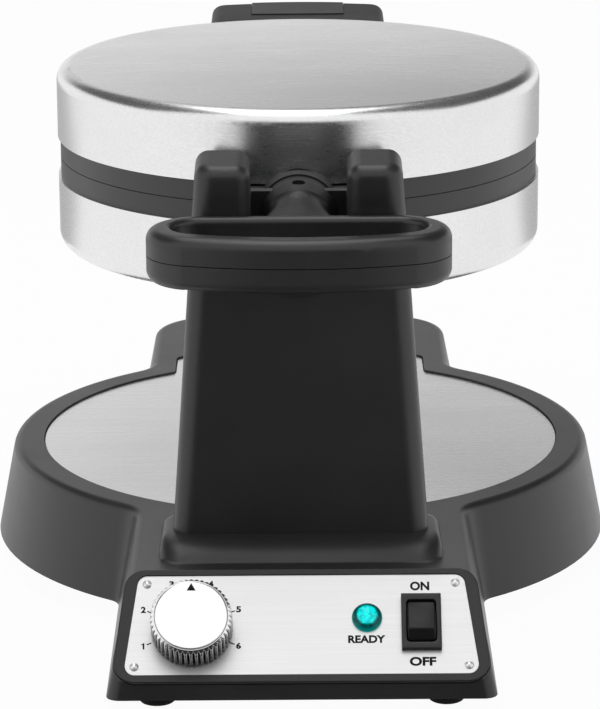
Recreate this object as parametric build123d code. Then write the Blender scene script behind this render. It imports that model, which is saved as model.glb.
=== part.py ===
from build123d import *
import math
import os

os.makedirs("parts", exist_ok=True)

# A countertop Belgian waffle maker whose round head turns over on a tower.
# Millimetres. X to the right, Y from the control panel to the back, Z up.
# The origin is under the middle of the base, on the table.

# Fits and seams
FIT = 0.15            # gap round a piece that sits in a recess
RUN = 0.05            # radial running clearance of shafts and pins
SEAM = 0.3            # gap between two moulded halves
CUT = 1.0             # how far a cutter overshoots the face it cuts through

# Base housing
DISC_Y = 10.0         # centre of the round part of the base, and of the head
DISC_FOOT_R = 122.3
FRONT_Y = -193.0
FRONT_HALF = 69.5     # half width of the front block at its foot
FRONT_CORNER_R = 5.0
REAR_Y = 196.3
REAR_HALF = 71.0      # half width of the rear block at its foot
REAR_CORNER_R = 33.0
INNER_CORNER_R = 8.0  # where the blocks run into the disc
SKIRT_Z = 8.5         # lower edge of the housing
BASE_TOP = 45.0
BASE_DRAFT = 11.2     # degrees
BASE_EDGE_R = 3.5
WALL = 3.0

# Steel drip plate let into the top of the base
DRIP_R = 103.1
DRIP_TONGUE_HALF = 53.0
DRIP_TONGUE_Y = 123.0
DRIP_CORNER_R = 4.5
DRIP_JOIN_R = 3.0     # inner corners beside the tongue
DRIP_GAP = 0.5        # open groove round the plate
DRIP_TOP = 44.2
DRIP_SHEET = 0.8

# Sloping control panel: a steel plate in a raised bezel
PANEL_TILT = 46.5     # degrees from level
PANEL_Y = -177.25
PANEL_Z = 30.5
PLATE_FOOT_WIDTH = 126.5
PLATE_HEAD_WIDTH = 116.4
PLATE_BELOW = 18.75   # reach of the plate down and up the slope from its origin
PLATE_ABOVE = 19.55
PLATE_CORNER_R = 3.75
PLATE_SHEET = 1.0
PLATE_SINK = 0.7      # depth of the plate's seat below the housing face
PLATE_LEDGE = 0.6     # overlap of the plate on its seat
BEZEL_RIM = 4.5       # width of the bezel at each side
BEZEL_RIM_LOW = 3.2
BEZEL_RIM_TOP = 2.5
BEZEL_CORNER_R = 8.0
BEZEL_SINK = 2.0
BEZEL_PROUD = 0.9
BEZEL_EDGE_R = 0.6
RIVET_HEAD_R = 1.65
RIVET_PROUD = 1.0
RIVET_SHANK_R = 1.0
RIVET_DEEP = 2.6
RIVET_SIDE = 3.4      # rivets in from the plate's sides, and from its foot and head
RIVET_END = 3.2
PLATE_MEAN_HALF = (PLATE_FOOT_WIDTH + PLATE_HEAD_WIDTH) / 4

# Browning control
KNOB_X = 21.725 - PLATE_MEAN_HALF
KNOB_UP = -1.1
KNOB_R = 14.6
KNOB_FACE_R = 13.4
KNOB_LIFT = 0.5       # lower edge of the knob above the housing face
KNOB_HEIGHT = 12.0
KNOB_BEVEL = 1.2
KNOB_RIM = 0.5        # bright ring left round the cap
CAP_SINK = 0.8        # depth of the cap's seat below the bevel
CAP_EDGE_R = 0.4
KNOB_FLUTES = 52
FLUTE_R = 0.6
KNOB_SHAFT_R = 3.0
KNOB_SHAFT_DEEP = 10.0
THERMOSTAT_R = 9.5
THERMOSTAT_DEEP = 12.0
BUSH_WALL = 0.8       # bush of the thermostat round the shaft

# Ready lamp
LAMP_X = PLATE_MEAN_HALF - 37.325
LAMP_UP = 2.8
LENS_R = 5.3
LENS_PROUD = 3.2
LENS_STEM_R = 4.0
LENS_STEM_DEEP = 4.5
LAMP_R = 2.4
LAMP_BASE_Z = -9.6    # back of the lamp's collar behind the panel
LAMP_COLLAR = 1.6

# Rocker switch
SWITCH_X = PLATE_MEAN_HALF - 18.025
SWITCH_UP = 0.7
SWITCH_WIDTH = 14.2
SWITCH_LENGTH = 21.2
SWITCH_PROUD = 2.8
SWITCH_CORNER_R = 1.2
SWITCH_EDGE_R = 0.6
SWITCH_WALL = 0.8
SWITCH_DEEP = 13.5
SWITCH_FLOOR = 6.3    # thickness of the cup's floor
TERMINAL_PITCH = 6.0
TERMINAL_WIDTH = 4.8
TERMINAL_SHEET = 0.8
ROCKER_WIDTH = 10.6
ROCKER_LENGTH = 16.4
ROCKER_GAP = 0.3
ROCKER_TILT = 7.0     # degrees to each side of level
ROCKER_RIDGE = 5.0
ROCKER_END = 3.0
ROCKER_KEEL = -4.6
ROCKER_RAKE = 1.2     # lean of its two ends
ROCKER_PIVOT_DEEP = 1.0
ROCKER_STUB_R = 1.0

# Bottom plate and feet
BOTTOM_Z = 9.3
BOTTOM_SHEET = 2.0
BOTTOM_GAP = 0.4      # between the plate and the wall round it
FOOT_R = 6.6
FOOT_EDGE_R = 1.2
FOOT_FRONT = (52.0, -171.0)
FOOT_REAR = (47.0, 168.0)
FOOT_RECESS = 4.0
BOSS_R = 2.8
FOOT_SCREW_R = 1.5
FOOT_SCREW_HEAD_R = 3.3
FOOT_SCREW_HEAD = 2.2
FOOT_SCREW_BITE = 9.0 # length in the boss
VENT_COUNT = 7
VENT_PITCH = 9.0
VENT_LENGTH = 34.0
VENT_WIDTH = 3.0

# Cord inlet in the rear wall
CORD_Z = 23.0
CORD_WIDTH = 13.0
CORD_HEIGHT = 10.0
CORD_CORNER_R = 3.0
CORD_BORE_R = 3.6
CORD_LIP = 2.0        # flange behind the wall
CORD_PROUD = 0.6

# Tower
AXIS_Z = 162.25       # height of the axis on which the head turns over
TOWER_FRONT = -136.0
TOWER_BACK = -98.5
TOWER_HALF_FOOT = 47.3
TOWER_HALF_TOP = 36.9
TOWER_TOP = AXIS_Z + 27.95
TOWER_CORNER_R = 7.0
TOWER_WALL = 3.0
TOWER_ROOM_TOP = AXIS_Z - 24.25
EAR_FRONT_TOP = AXIS_Z + 25.75
EAR_BACK = -113.5
EAR_SIDE_R = 5.2      # upright edges of the ears at the slot
EAR_EDGE_R = 5.0      # edges of their tops
EAR_BACK_R = 1.5      # edges of their backs
SLOT_HALF = 17.4
SADDLE_TOP = AXIS_Z + 10.45  # top of the wall that wraps the hub
SADDLE_STEP = AXIS_Z - 4.25  # above this the wall is thinner
SADDLE_FRONT = -106.0
SADDLE_BACK = -101.5
PLINTH_HALF = 51.8
PLINTH_FRONT = -152.0
PLINTH_BACK = -111.0
PLINTH_TOP = 51.0
PLINTH_LIP = 1.8      # height of its rounded lower edge
PLINTH_BITE = 0.3     # how far its top sinks into the tower
COVER_HALF = 28.0
COVER_LOW = 58.0
COVER_HIGH = AXIS_Z - 30.25
COVER_SHEET = 2.5
COVER_LEDGE = 3.0     # rim of the tower's wall behind the cover
FRAME_HALF = 24.0
FRAME_FRONT = -130.0
FRAME_BACK = -104.0
FRAME_SHEET = 2.0

# Hub and bearing
HUB_R = 14.6
HUB_COLLAR = -107.4   # front of the full round part
JOURNAL_R = 14.0
HUB_BORE_R = 8.5
HUB_FRONT = -117.5
JOURNAL_FRONT = -106.4
HUB_BACK = -97.0
HUB_SCREW_Y = -109.0
HUB_SCREW_R = 2.4
HUB_SHANK_R = 1.4
SPIGOT_BACK = -113.0  # back of the ring handle's spigot in the hub
SPIGOT_FRONT = -112.0 # front of the yoke's spigot in the hub
BEARING_R = 16.0
LEAD_HOLE_R = 5.0     # hole for the heater leads through the hub

# Ring handle that turns the head
RING_LENGTH = 107.7
RING_FRONT = -180.0
RING_BACK = -137.0
RING_BOW_R = 138.0    # bowed front edge, seen from above
RING_END_R = 18.5
RING_HOLE_LENGTH = 89.3
RING_HOLE_FRONT = -170.1
RING_HOLE_BACK = -143.9
RING_HOLE_END_R = 10.4
RING_HALF_HEIGHT = 9.6
RING_EDGE_R = 4.2
RING_HOLE_EDGE_R = 2.3
RING_SCREW_X = 38.0
RING_SCREW_R = 1.5
RING_SCREW_HEAD_R = 2.8
RING_SCREW_HEAD = 2.0
RING_SCREW_HEAD_Z = -5.0  # underside of the heads' seats, from the axis
NECK_SECTIONS = (     # depth, half width and half height
    (-117.5, 10.3, 13.2),
    (-124.0, 10.6, 12.2),
    (-131.0, 13.0, 10.4),
    (-140.0, 19.0, 9.2),
)

# Head: two like halves that meet at the turning axis
HEAD_R = 95.0
SHELL_SHEET = 1.0
SHELL_LOW = 7.95      # lower edge of the steel shell above the parting
SHELL_HIGH = 35.4     # shoulder of the shell above the parting
SHELL_CROWN = 1.4
SHELL_SHOULDER_R = 5.5
BAND_R = 94.0
BAND_INNER_R = 90.3
BAND_SPIGOT = 3.0
GRID_FLANGE_R = 90.0
GRID_FLANGE = 3.5
GRID_BODY_R = 84.0
GRID_POCKET_R = 80.0
GRID_DEPTH = 13.0
GRID_FLOOR = 4.0
GRID_DRAFT = 2.0      # how much narrower the pocket is at its floor
PEG_PITCH = 19.0
PEG_FOOT = 12.4
PEG_HEAD = 8.8
PEG_HEIGHT = 11.0
PEG_ROWS = 4          # rows of pegs on each side of the middle
PEG_RIM_GAP = 7.7     # between the outer pegs' centres and the rim
RIDGE_WIDTH = 3.0
RIDGE_HEIGHT = 7.0
HEATER_R = 58.0
HEATER_ROD_R = 3.3
HEATER_GAP_DEG = 40.0
HEATER_TAIL = 12.0
HEATER_TAIL_R = 2.0
REFLECTOR_R = 86.0
REFLECTOR_SHEET = 0.6
REFLECTOR_SEAT = 7.6  # reflector above the back of the grid
POST_R = 3.0          # posts that hold the reflector off the grid
POST_RING_R = 72.0

# Rear handles
HANDLE_WIDTH = 73.0
HANDLE_BACK = 147.5
HANDLE_THICK = 18.5
HANDLE_LOW = 15.7     # underside above the parting
HANDLE_CORNER_R = 7.0
HANDLE_EDGE_R = 4.0
HANDLE_BOW = 5.0
GRIP_HALF = 19.5
GRIP_FRONT = 117.0
GRIP_PROUD = 0.4
TENON_X = 24.0        # square tenons that go through the shell
TENON_HALF = 4.0
TENON_FRONT = 80.0
TENON_BACK = 112.0

# Lid hinge, hidden behind the ears
HINGE_Y = -89.0
HINGE_Z = AXIS_Z + 14.25
HINGE_PIN_R = 1.75
HINGE_FLOAT = 2.0     # lift of the pins in their slots as a waffle rises
CHEEK_IN = 22.0
CHEEK_OUT = 29.0
CHEEK_WALL = 1.5
ARM_IN = 29.5
ARM_OUT = 36.5
ARM_BOSS_R = 5.0
ARM_LOW = 12.25       # underside of the arm above the axis
ARM_NECK = 17.0       # its top outside the shell
ARM_HIGH = 20.75      # its top inside the shell
ARM_BACK = -54.0
YOKE_FRONT = -97.0
YOKE_HALF_HEIGHT = 7.25
YOKE_GAP = 0.6        # between the yoke and the head
NOTCH_GAP = 0.5
GRID_GAP = 0.25       # between the arms and the side of the grid
ARM_SCREW_R = 1.4
ARM_SCREW_HEAD_R = 2.6
ARM_SCREW_HEAD = 1.6
ARM_SCREW_DEEP = 3.0
ARM_SCREW_INSET = 4.0 # in from the end of the arm's tail
PIN_HEAD = 1.2        # thickness and overhang of the hinge pins' heads
PIN_GAP = 0.2

PARTING = SEAM / 2
GRID_BACK = PARTING + GRID_DEPTH + GRID_FLOOR
REACH = REAR_Y - FRONT_Y  # size of cutters that clear everything
LOW = (Align.CENTER, Align.CENTER, Align.MIN)
PANEL = Plane(
    origin=(0, PANEL_Y, PANEL_Z),
    x_dir=(1, 0, 0),
    z_dir=(0, -math.sin(math.radians(PANEL_TILT)), math.cos(math.radians(PANEL_TILT))),
)


def save(name, shape):
    """Write one sub-part to its own file."""
    export_step(shape, f"parts/{name}.step")


def group(shapes):
    """Several separate solids that share one node."""
    return Compound(children=[s for shape in shapes for s in shape.solids()])


def disc(radius, low, high, x=0.0, y=DISC_Y):
    """Upright round slab between two heights."""
    return Pos(x, y, low) * Cylinder(radius, high - low, align=LOW)


def rod(radius, front, back, x=0.0, z=AXIS_Z):
    """Round bar along Y between two depths."""
    return Pos(x, front, z) * Rot(-90, 0, 0) * Cylinder(radius, back - front, align=LOW)


def pin(radius, left, right, y, z):
    """Round bar along X between two sides."""
    return Pos(left, y, z) * Rot(0, 90, 0) * Cylinder(radius, right - left, align=LOW)


def block(x, y, z):
    """Box between pairs of limits along X, Y and Z."""
    size = [b - a for a, b in (x, y, z)]
    return Pos(x[0], y[0], z[0]) * Box(*size, align=(Align.MIN,) * 3)


def on_panel(shape, x=0.0, up=0.0):
    """Carry a shape made flat on XY to a place on the sloping panel."""
    return PANEL.location * Pos(x, up, 0) * shape


def mirrored(shape):
    """The same piece on the other side of the parting plane of the head."""
    return mirror(shape, about=Plane.XY.offset(AXIS_Z))


def round_joins(plan, radius, corner):
    """Round the inner corners where blocks run into a disc of the given radius."""
    joins = [v for v in plan.vertices() if abs(math.hypot(v.X, v.Y - DISC_Y) - radius) < 0.01]
    return fillet(joins, corner)


def dome(radius, rise):
    """Cap of a sphere on a flat face."""
    ball = (radius**2 + rise**2) / (2 * rise)
    return Pos(0, 0, rise - ball) * Sphere(ball) & Cylinder(radius + CUT, rise + CUT, align=LOW)


def base_plan(inset):
    """Outline of the base at its foot: a disc, a front block and a rear block."""
    radius = DISC_FOOT_R - inset
    front_long = DISC_Y - FRONT_Y - inset
    rear_long = REAR_Y - inset - DISC_Y
    plan = Pos(0, DISC_Y) * Circle(radius)
    plan += Pos(0, DISC_Y - front_long / 2) * Rectangle(2 * (FRONT_HALF - inset), front_long)
    plan += Pos(0, DISC_Y + rear_long / 2) * RectangleRounded(
        2 * (REAR_HALF - inset), rear_long, REAR_CORNER_R - inset
    )
    return round_joins(plan, radius, INNER_CORNER_R + inset)


def base_form(inset):
    """Drafted solid of the base with its sloping front, drawn in by an even inset."""
    body = Pos(0, 0, SKIRT_Z) * extrude(
        base_plan(inset), BASE_TOP - SKIRT_Z - inset, taper=BASE_DRAFT
    )
    upright = [e for e in body.edges() if e.bounding_box().size.Z > BASE_TOP / 2]
    body = fillet(ShapeList(upright).sort_by(Axis.Y)[:2], FRONT_CORNER_R - inset / 2)
    if inset == 0:
        body = fillet(body.faces().sort_by(Axis.Z)[-1].edges(), BASE_EDGE_R)
    above = on_panel(Pos(0, 0, -inset) * Box(REACH, REACH / 2, REACH, align=LOW))
    return body - above


def drip_plan(gap):
    """Outline of the drip plate: a circle with a wide tongue to the back."""
    long = DRIP_TONGUE_Y - DISC_Y + gap
    plan = Pos(0, DISC_Y) * Circle(DRIP_R + gap)
    plan += Pos(0, DISC_Y + long / 2) * RectangleRounded(
        2 * (DRIP_TONGUE_HALF + gap), long, DRIP_CORNER_R + gap
    )
    return round_joins(plan, DRIP_R + gap, DRIP_JOIN_R - gap)


def panel_plan(side, foot, head, corner):
    """Trapezoid of the panel plate grown by a rim at the sides, foot and head."""
    low, high = -PLATE_BELOW - foot, PLATE_ABOVE + head
    a, b = PLATE_FOOT_WIDTH / 2 + side, PLATE_HEAD_WIDTH / 2 + side
    plan = make_face(Polyline((-a, low), (a, low), (b, high), (-b, high), close=True))
    return fillet(plan.vertices(), corner)


def plate_outline(gap=0.0):
    return panel_plan(gap, gap, gap, PLATE_CORNER_R)


def bezel_outline(gap=0.0):
    return panel_plan(BEZEL_RIM + gap, BEZEL_RIM_LOW + gap, BEZEL_RIM_TOP + gap, BEZEL_CORNER_R)


def rivet_places():
    """The four rivets, in from the corners of the plate."""
    low, high = -PLATE_BELOW + RIVET_END, PLATE_ABOVE - RIVET_END
    lean = (PLATE_FOOT_WIDTH - PLATE_HEAD_WIDTH) / 2 / (PLATE_BELOW + PLATE_ABOVE)
    middle = PLATE_MEAN_HALF - RIVET_SIDE
    return [(sx * (middle - lean * up), up) for up in (low, high) for sx in (-1, 1)]


def foot_places():
    return [(sx * x, y) for x, y in (FOOT_FRONT, FOOT_REAR) for sx in (-1, 1)]


# Base

def base_housing():
    body = base_form(0) - Pos(0, 0, -0.01) * base_form(WALL)
    body -= block((-REACH, REACH), (-REACH, REACH), (SKIRT_Z - CUT, SKIRT_Z))
    seat = BOTTOM_Z + BOTTOM_SHEET
    for x, y in foot_places():
        body += disc(BOSS_R, seat, BASE_TOP, x, y) & base_form(WALL / 2)
        body -= disc(FOOT_SCREW_R, 0, seat + FOOT_SCREW_BITE + WALL, x, y)
    body -= Pos(0, 0, DRIP_TOP - DRIP_SHEET) * extrude(drip_plan(DRIP_GAP), BASE_TOP)
    body -= block(
        (-FRAME_HALF - FIT, FRAME_HALF + FIT),
        (FRAME_FRONT - FIT, FRAME_BACK + FIT),
        (BASE_TOP - 2 * WALL, BASE_TOP + CUT),
    )
    bezel_seat = bezel_outline(FIT) - plate_outline(-PLATE_LEDGE)
    body -= on_panel(Pos(0, 0, -BEZEL_SINK) * extrude(bezel_seat, 2 * WALL))
    body -= on_panel(Pos(0, 0, -PLATE_SINK) * extrude(plate_outline(FIT), 2 * WALL))
    for cut in panel_cuts():
        body -= cut
    return body - cord_hole(FIT)


def panel_cuts():
    """Holes through the plate and the housing for what sits on the panel."""
    deep = 4 * WALL
    width, length = cup_size()
    shaft = Cylinder(KNOB_SHAFT_R + BUSH_WALL + FIT, 2 * deep, align=LOW)
    stem = Cylinder(LENS_STEM_R + FIT, 2 * deep, align=LOW)
    cup = Box(width + 2 * FIT, length + 2 * FIT, 2 * deep, align=LOW)
    cuts = [
        on_panel(Pos(0, 0, -deep) * shaft, KNOB_X, KNOB_UP),
        on_panel(Pos(0, 0, -deep) * stem, LAMP_X, LAMP_UP),
        on_panel(Pos(0, 0, -deep) * cup, SWITCH_X, SWITCH_UP),
    ]
    for x, up in rivet_places():
        shank = Pos(0, 0, -RIVET_DEEP - FIT) * Cylinder(RIVET_SHANK_R + RUN, deep, align=LOW)
        cuts.append(on_panel(shank, x, up))
    return cuts


def drip_plate():
    plate = extrude(drip_plan(0), DRIP_SHEET)
    return Pos(0, 0, DRIP_TOP - DRIP_SHEET) * plate


def panel_bezel():
    ring = bezel_outline() - plate_outline(FIT)
    body = Pos(0, 0, -BEZEL_SINK) * extrude(ring, BEZEL_SINK + BEZEL_PROUD)
    body = fillet(body.faces().sort_by(Axis.Z)[-1].outer_wire().edges(), BEZEL_EDGE_R)
    return on_panel(body)


def panel_plate():
    plate = on_panel(Pos(0, 0, -PLATE_SINK) * extrude(plate_outline(), PLATE_SHEET))
    for cut in panel_cuts():
        plate -= cut
    return plate


def panel_rivets():
    face = PLATE_SHEET - PLATE_SINK
    head = Pos(0, 0, face) * dome(RIVET_HEAD_R, RIVET_PROUD)
    shank = Pos(0, 0, -RIVET_DEEP) * Cylinder(
        RIVET_SHANK_R, RIVET_DEEP + face + RIVET_PROUD / 2, align=LOW
    )
    return group(on_panel(head + shank, x, up) for x, up in rivet_places())


def bottom_plate():
    rise = BOTTOM_Z + BOTTOM_SHEET - SKIRT_Z
    inset = WALL + rise * math.tan(math.radians(BASE_DRAFT)) + BOTTOM_GAP
    plan = base_plan(inset)
    plan = fillet(plan.vertices().sort_by(Axis.Y)[:2], FRONT_CORNER_R)
    plate = Pos(0, 0, BOTTOM_Z) * extrude(plan, BOTTOM_SHEET)
    for x, y in foot_places():
        plate -= disc(FOOT_SCREW_R + RUN, 0, BASE_TOP, x, y)
    for n in range(VENT_COUNT):
        y = DISC_Y + VENT_PITCH * (n - (VENT_COUNT - 1) / 2)
        plate -= Pos(0, y, 0) * extrude(SlotOverall(VENT_LENGTH, VENT_WIDTH), BASE_TOP)
    return plate


def rubber_feet():
    foot = Cylinder(FOOT_R, BOTTOM_Z, align=LOW)
    foot = fillet(foot.edges().sort_by(Axis.Z)[0], FOOT_EDGE_R)
    foot -= Cylinder(FOOT_SCREW_HEAD_R + 2 * FIT, FOOT_RECESS, align=LOW)
    foot -= Cylinder(FOOT_SCREW_R + RUN, BASE_TOP, align=LOW)
    return group(Pos(x, y, 0) * foot for x, y in foot_places())


def foot_screws():
    top = BOTTOM_Z + BOTTOM_SHEET + FOOT_SCREW_BITE
    screws = []
    for x, y in foot_places():
        screw = disc(FOOT_SCREW_HEAD_R, FOOT_RECESS - FOOT_SCREW_HEAD, FOOT_RECESS, x, y)
        screws.append(screw + disc(FOOT_SCREW_R - RUN, FOOT_RECESS - RUN, top, x, y))
    return group(screws)


def cord_hole(gap):
    """Round-cornered opening in the rear wall for the cord inlet."""
    outline = RectangleRounded(CORD_WIDTH + 2 * gap, CORD_HEIGHT + 2 * gap, CORD_CORNER_R)
    return Pos(0, REAR_Y - REAR_CORNER_R, CORD_Z) * Rot(-90, 0, 0) * extrude(outline, 2 * REAR_CORNER_R)


def cord_inlet():
    """Moulded grommet in the rear wall, with the bore for the cord."""
    out = REAR_Y - math.tan(math.radians(BASE_DRAFT)) * (CORD_Z - SKIRT_Z)
    inside = out - WALL - CORD_LIP
    half_width, half_height = CORD_WIDTH / 2 + CORD_LIP, CORD_HEIGHT / 2 + CORD_LIP
    body = cord_hole(0) & block((-CORD_WIDTH, CORD_WIDTH), (inside, out + CORD_PROUD), (0, BASE_TOP))
    body += block(
        (-half_width, half_width),
        (inside - CORD_LIP, inside),
        (CORD_Z - half_height, CORD_Z + half_height),
    )
    return body - rod(CORD_BORE_R, out - REAR_CORNER_R, out + REAR_CORNER_R, z=CORD_Z)


# Controls

def knob_body():
    low, high = KNOB_LIFT, KNOB_LIFT + KNOB_HEIGHT - KNOB_BEVEL
    plan = Circle(KNOB_R)
    for spot in PolarLocations(KNOB_R + FLUTE_R / 4, KNOB_FLUTES):
        plan -= spot * Circle(FLUTE_R)
    body = Pos(0, 0, low) * extrude(plan, high - low)
    body += Pos(0, 0, high) * Cone(KNOB_R - FLUTE_R, KNOB_FACE_R, KNOB_BEVEL, align=LOW)
    body -= Pos(0, 0, high - CAP_SINK) * Cylinder(KNOB_FACE_R - KNOB_RIM + FIT, KNOB_HEIGHT, align=LOW)
    shaft_room = high - low - 2 * CAP_SINK + CUT
    body -= Pos(0, 0, low - CUT) * Cylinder(KNOB_SHAFT_R + RUN, shaft_room, align=LOW)
    return on_panel(body, KNOB_X, KNOB_UP)


def knob_cap():
    thick = CAP_SINK + KNOB_BEVEL + CAP_EDGE_R
    cap = Pos(0, 0, KNOB_LIFT + KNOB_HEIGHT - KNOB_BEVEL - CAP_SINK) * Cylinder(
        KNOB_FACE_R - KNOB_RIM, thick, align=LOW
    )
    cap = fillet(cap.edges().sort_by(Axis.Z)[-1], CAP_EDGE_R)
    return on_panel(cap, KNOB_X, KNOB_UP)


def knob_shaft():
    long = KNOB_SHAFT_DEEP + KNOB_LIFT + KNOB_HEIGHT - KNOB_BEVEL - 4 * CAP_SINK
    shaft = Pos(0, 0, -KNOB_SHAFT_DEEP) * Cylinder(KNOB_SHAFT_R, long, align=LOW)
    return on_panel(shaft, KNOB_X, KNOB_UP)


def thermostat():
    """Bimetal thermostat behind the panel, with the bush that the knob's shaft turns in."""
    body = Pos(0, 0, -WALL - RUN - THERMOSTAT_DEEP) * Cylinder(
        THERMOSTAT_R, THERMOSTAT_DEEP, align=LOW
    )
    body += Pos(0, 0, -WALL - 2 * RUN) * Cylinder(KNOB_SHAFT_R + BUSH_WALL, WALL - PLATE_SINK, align=LOW)
    body -= Pos(0, 0, -KNOB_SHAFT_DEEP - CUT / 2) * Cylinder(
        KNOB_SHAFT_R + RUN, 2 * THERMOSTAT_DEEP, align=LOW
    )
    return on_panel(body, KNOB_X, KNOB_UP)


def ready_lens():
    face = PLATE_SHEET - PLATE_SINK
    lens = Pos(0, 0, face) * dome(LENS_R, LENS_PROUD)
    lens += Pos(0, 0, -LENS_STEM_DEEP) * Cylinder(
        LENS_STEM_R, LENS_STEM_DEEP + face + FIT, align=LOW
    )
    lens -= Pos(0, 0, LAMP_BASE_Z) * Cylinder(LAMP_R + FIT, FIT - LAMP_BASE_Z, align=LOW)
    return on_panel(lens, LAMP_X, LAMP_UP)


def ready_lamp():
    """Small lamp in the lens's stem: a round-ended bulb on a collar."""
    neck = -LAMP_BASE_Z - LAMP_COLLAR - LAMP_R + CUT
    lamp = Pos(0, 0, LAMP_BASE_Z) * Cylinder(LENS_R, LAMP_COLLAR, align=LOW)
    lamp += Pos(0, 0, LAMP_BASE_Z + LAMP_COLLAR) * Cylinder(LAMP_R, neck, align=LOW)
    lamp += Pos(0, 0, LAMP_BASE_Z + LAMP_COLLAR + neck) * (
        Sphere(LAMP_R) & Cylinder(LAMP_R, LAMP_R - CUT, align=LOW)
    )
    return on_panel(lamp, LAMP_X, LAMP_UP)


def cup_size():
    """Outer width and length of the switch's cup, which goes through the panel."""
    return (
        ROCKER_WIDTH + 2 * (ROCKER_GAP + SWITCH_WALL),
        ROCKER_LENGTH + 2 * (2 * ROCKER_GAP + SWITCH_WALL),
    )


def switch_frame():
    face = PLATE_SHEET - PLATE_SINK
    outline = RectangleRounded(SWITCH_WIDTH, SWITCH_LENGTH, SWITCH_CORNER_R)
    rim = Pos(0, 0, face) * extrude(outline, SWITCH_PROUD)
    rim = fillet(rim.faces().sort_by(Axis.Z)[-1].edges(), SWITCH_EDGE_R)
    width, length = cup_size()
    cup = Pos(0, 0, -SWITCH_DEEP) * Box(width, length, SWITCH_DEEP + face + SWITCH_EDGE_R, align=LOW)
    room = Pos(0, 0, SWITCH_FLOOR - SWITCH_DEEP) * Box(
        width - 2 * SWITCH_WALL, length - 2 * SWITCH_WALL, 2 * SWITCH_DEEP, align=LOW
    )
    stub = width / 2 - FIT
    stub_hole = pin(ROCKER_STUB_R + RUN, -stub, stub, 0, -ROCKER_PIVOT_DEEP)
    return on_panel(rim + cup - room - stub_hole, SWITCH_X, SWITCH_UP)


def switch_rocker():
    """Rocker with a low roof-shaped face, its upper end pressed in for on."""
    half = ROCKER_LENGTH / 2
    side = make_face(
        Polyline(
            (half - ROCKER_RAKE, ROCKER_KEEL),
            (half, ROCKER_END),
            (0, ROCKER_RIDGE),
            (-half, ROCKER_END),
            (-half + ROCKER_RAKE, ROCKER_KEEL),
            close=True,
        )
    )
    body = Pos(-ROCKER_WIDTH / 2, 0, 0) * extrude(Plane.YZ * side, ROCKER_WIDTH)
    stub = (ROCKER_WIDTH + 2 * ROCKER_GAP + SWITCH_WALL) / 2
    body += pin(ROCKER_STUB_R, -stub, stub, 0, -ROCKER_PIVOT_DEEP)
    tilt = Pos(0, 0, -ROCKER_PIVOT_DEEP) * Rot(-ROCKER_TILT, 0, 0) * Pos(0, 0, ROCKER_PIVOT_DEEP)
    return on_panel(tilt * body, SWITCH_X, SWITCH_UP)


def switch_terminals():
    tab = Box(TERMINAL_WIDTH, TERMINAL_SHEET, TERMINAL_PITCH, align=LOW)
    low = -SWITCH_DEEP - TERMINAL_PITCH
    tabs = [Pos(0, n * TERMINAL_PITCH, low) * tab for n in (-1, 0, 1)]
    return group(on_panel(t, SWITCH_X, SWITCH_UP) for t in tabs)


# Tower

def tower_half(z):
    """Half width of the tower at a height."""
    share = (z - BASE_TOP) / (TOWER_TOP - BASE_TOP)
    return TOWER_HALF_FOOT + share * (TOWER_HALF_TOP - TOWER_HALF_FOOT)


def tower_loft(inset, low, high):
    """Four-sided taper of the tower between two heights, drawn in by a wall."""
    depth = TOWER_BACK - TOWER_FRONT - 2 * inset
    middle = (TOWER_BACK + TOWER_FRONT) / 2
    return loft([
        Pos(0, middle, z) * RectangleRounded(
            2 * (tower_half(z) - inset), depth, TOWER_CORNER_R - inset
        )
        for z in (low, high)
    ])


def plinth():
    """Low flared foot at the front of the tower."""
    steps = ((BASE_TOP, 1.0), (BASE_TOP + PLINTH_LIP, 0.72), (PLINTH_TOP, 0.0))
    slices = []
    for z, flare in steps:
        half = tower_half(z) - PLINTH_BITE + flare * (PLINTH_HALF - TOWER_HALF_FOOT)
        front = TOWER_FRONT + PLINTH_BITE + flare * (PLINTH_FRONT - TOWER_FRONT)
        depth = PLINTH_BACK - front
        slices.append(
            Pos(0, front + depth / 2, z) * RectangleRounded(2 * half, depth, TOWER_CORNER_R)
        )
    return loft(slices)


def saddle_cut():
    """Space behind the upper part of the saddle wall, over and beside the hub."""
    return block((-REACH, REACH), (SADDLE_BACK, TOWER_BACK + CUT), (SADDLE_STEP, TOWER_TOP + CUT))


def tower_ears():
    """Solid tower with its slot for the hub and its two rounded ears."""
    body = tower_loft(0, BASE_TOP, TOWER_TOP)
    slope = math.degrees(math.atan((TOWER_TOP - EAR_FRONT_TOP) / (EAR_BACK - TOWER_FRONT)))
    body -= Pos(0, TOWER_FRONT, EAR_FRONT_TOP) * Rot(slope, 0, 0) * Box(REACH, REACH, REACH, align=LOW)
    above = TOWER_TOP + CUT
    body -= block((-REACH, REACH), (EAR_BACK, TOWER_BACK + CUT), (SADDLE_TOP, above))
    body -= block((-SLOT_HALF, SLOT_HALF), (TOWER_FRONT - CUT, SADDLE_FRONT), (AXIS_Z, above))
    body -= rod(SLOT_HALF, TOWER_FRONT - CUT, SADDLE_FRONT)
    mouth = [
        e for e in body.edges()
        if abs(e.center().Y - TOWER_FRONT) < 0.01 and abs(e.center().X) < SLOT_HALF + 0.1
        and e.center().Z > BASE_TOP + CUT
    ]
    body = fillet(mouth, EAR_SIDE_R)
    top_faces = [
        f for f in body.faces() if f.normal_at().Z > 0.9 and f.center().Z > SADDLE_TOP + CUT
    ]
    rims = [
        e for f in top_faces for e in f.edges() if abs(e.center().Y - EAR_BACK) > 0.01
    ]
    body = fillet(rims, EAR_EDGE_R)
    backs = [
        e for f in body.faces().filter_by(Axis.Y) if abs(f.center().Y - EAR_BACK) < 0.01
        for e in f.edges() if e.center().Z > SADDLE_TOP + CUT
    ]
    return fillet(backs, EAR_BACK_R)


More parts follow.
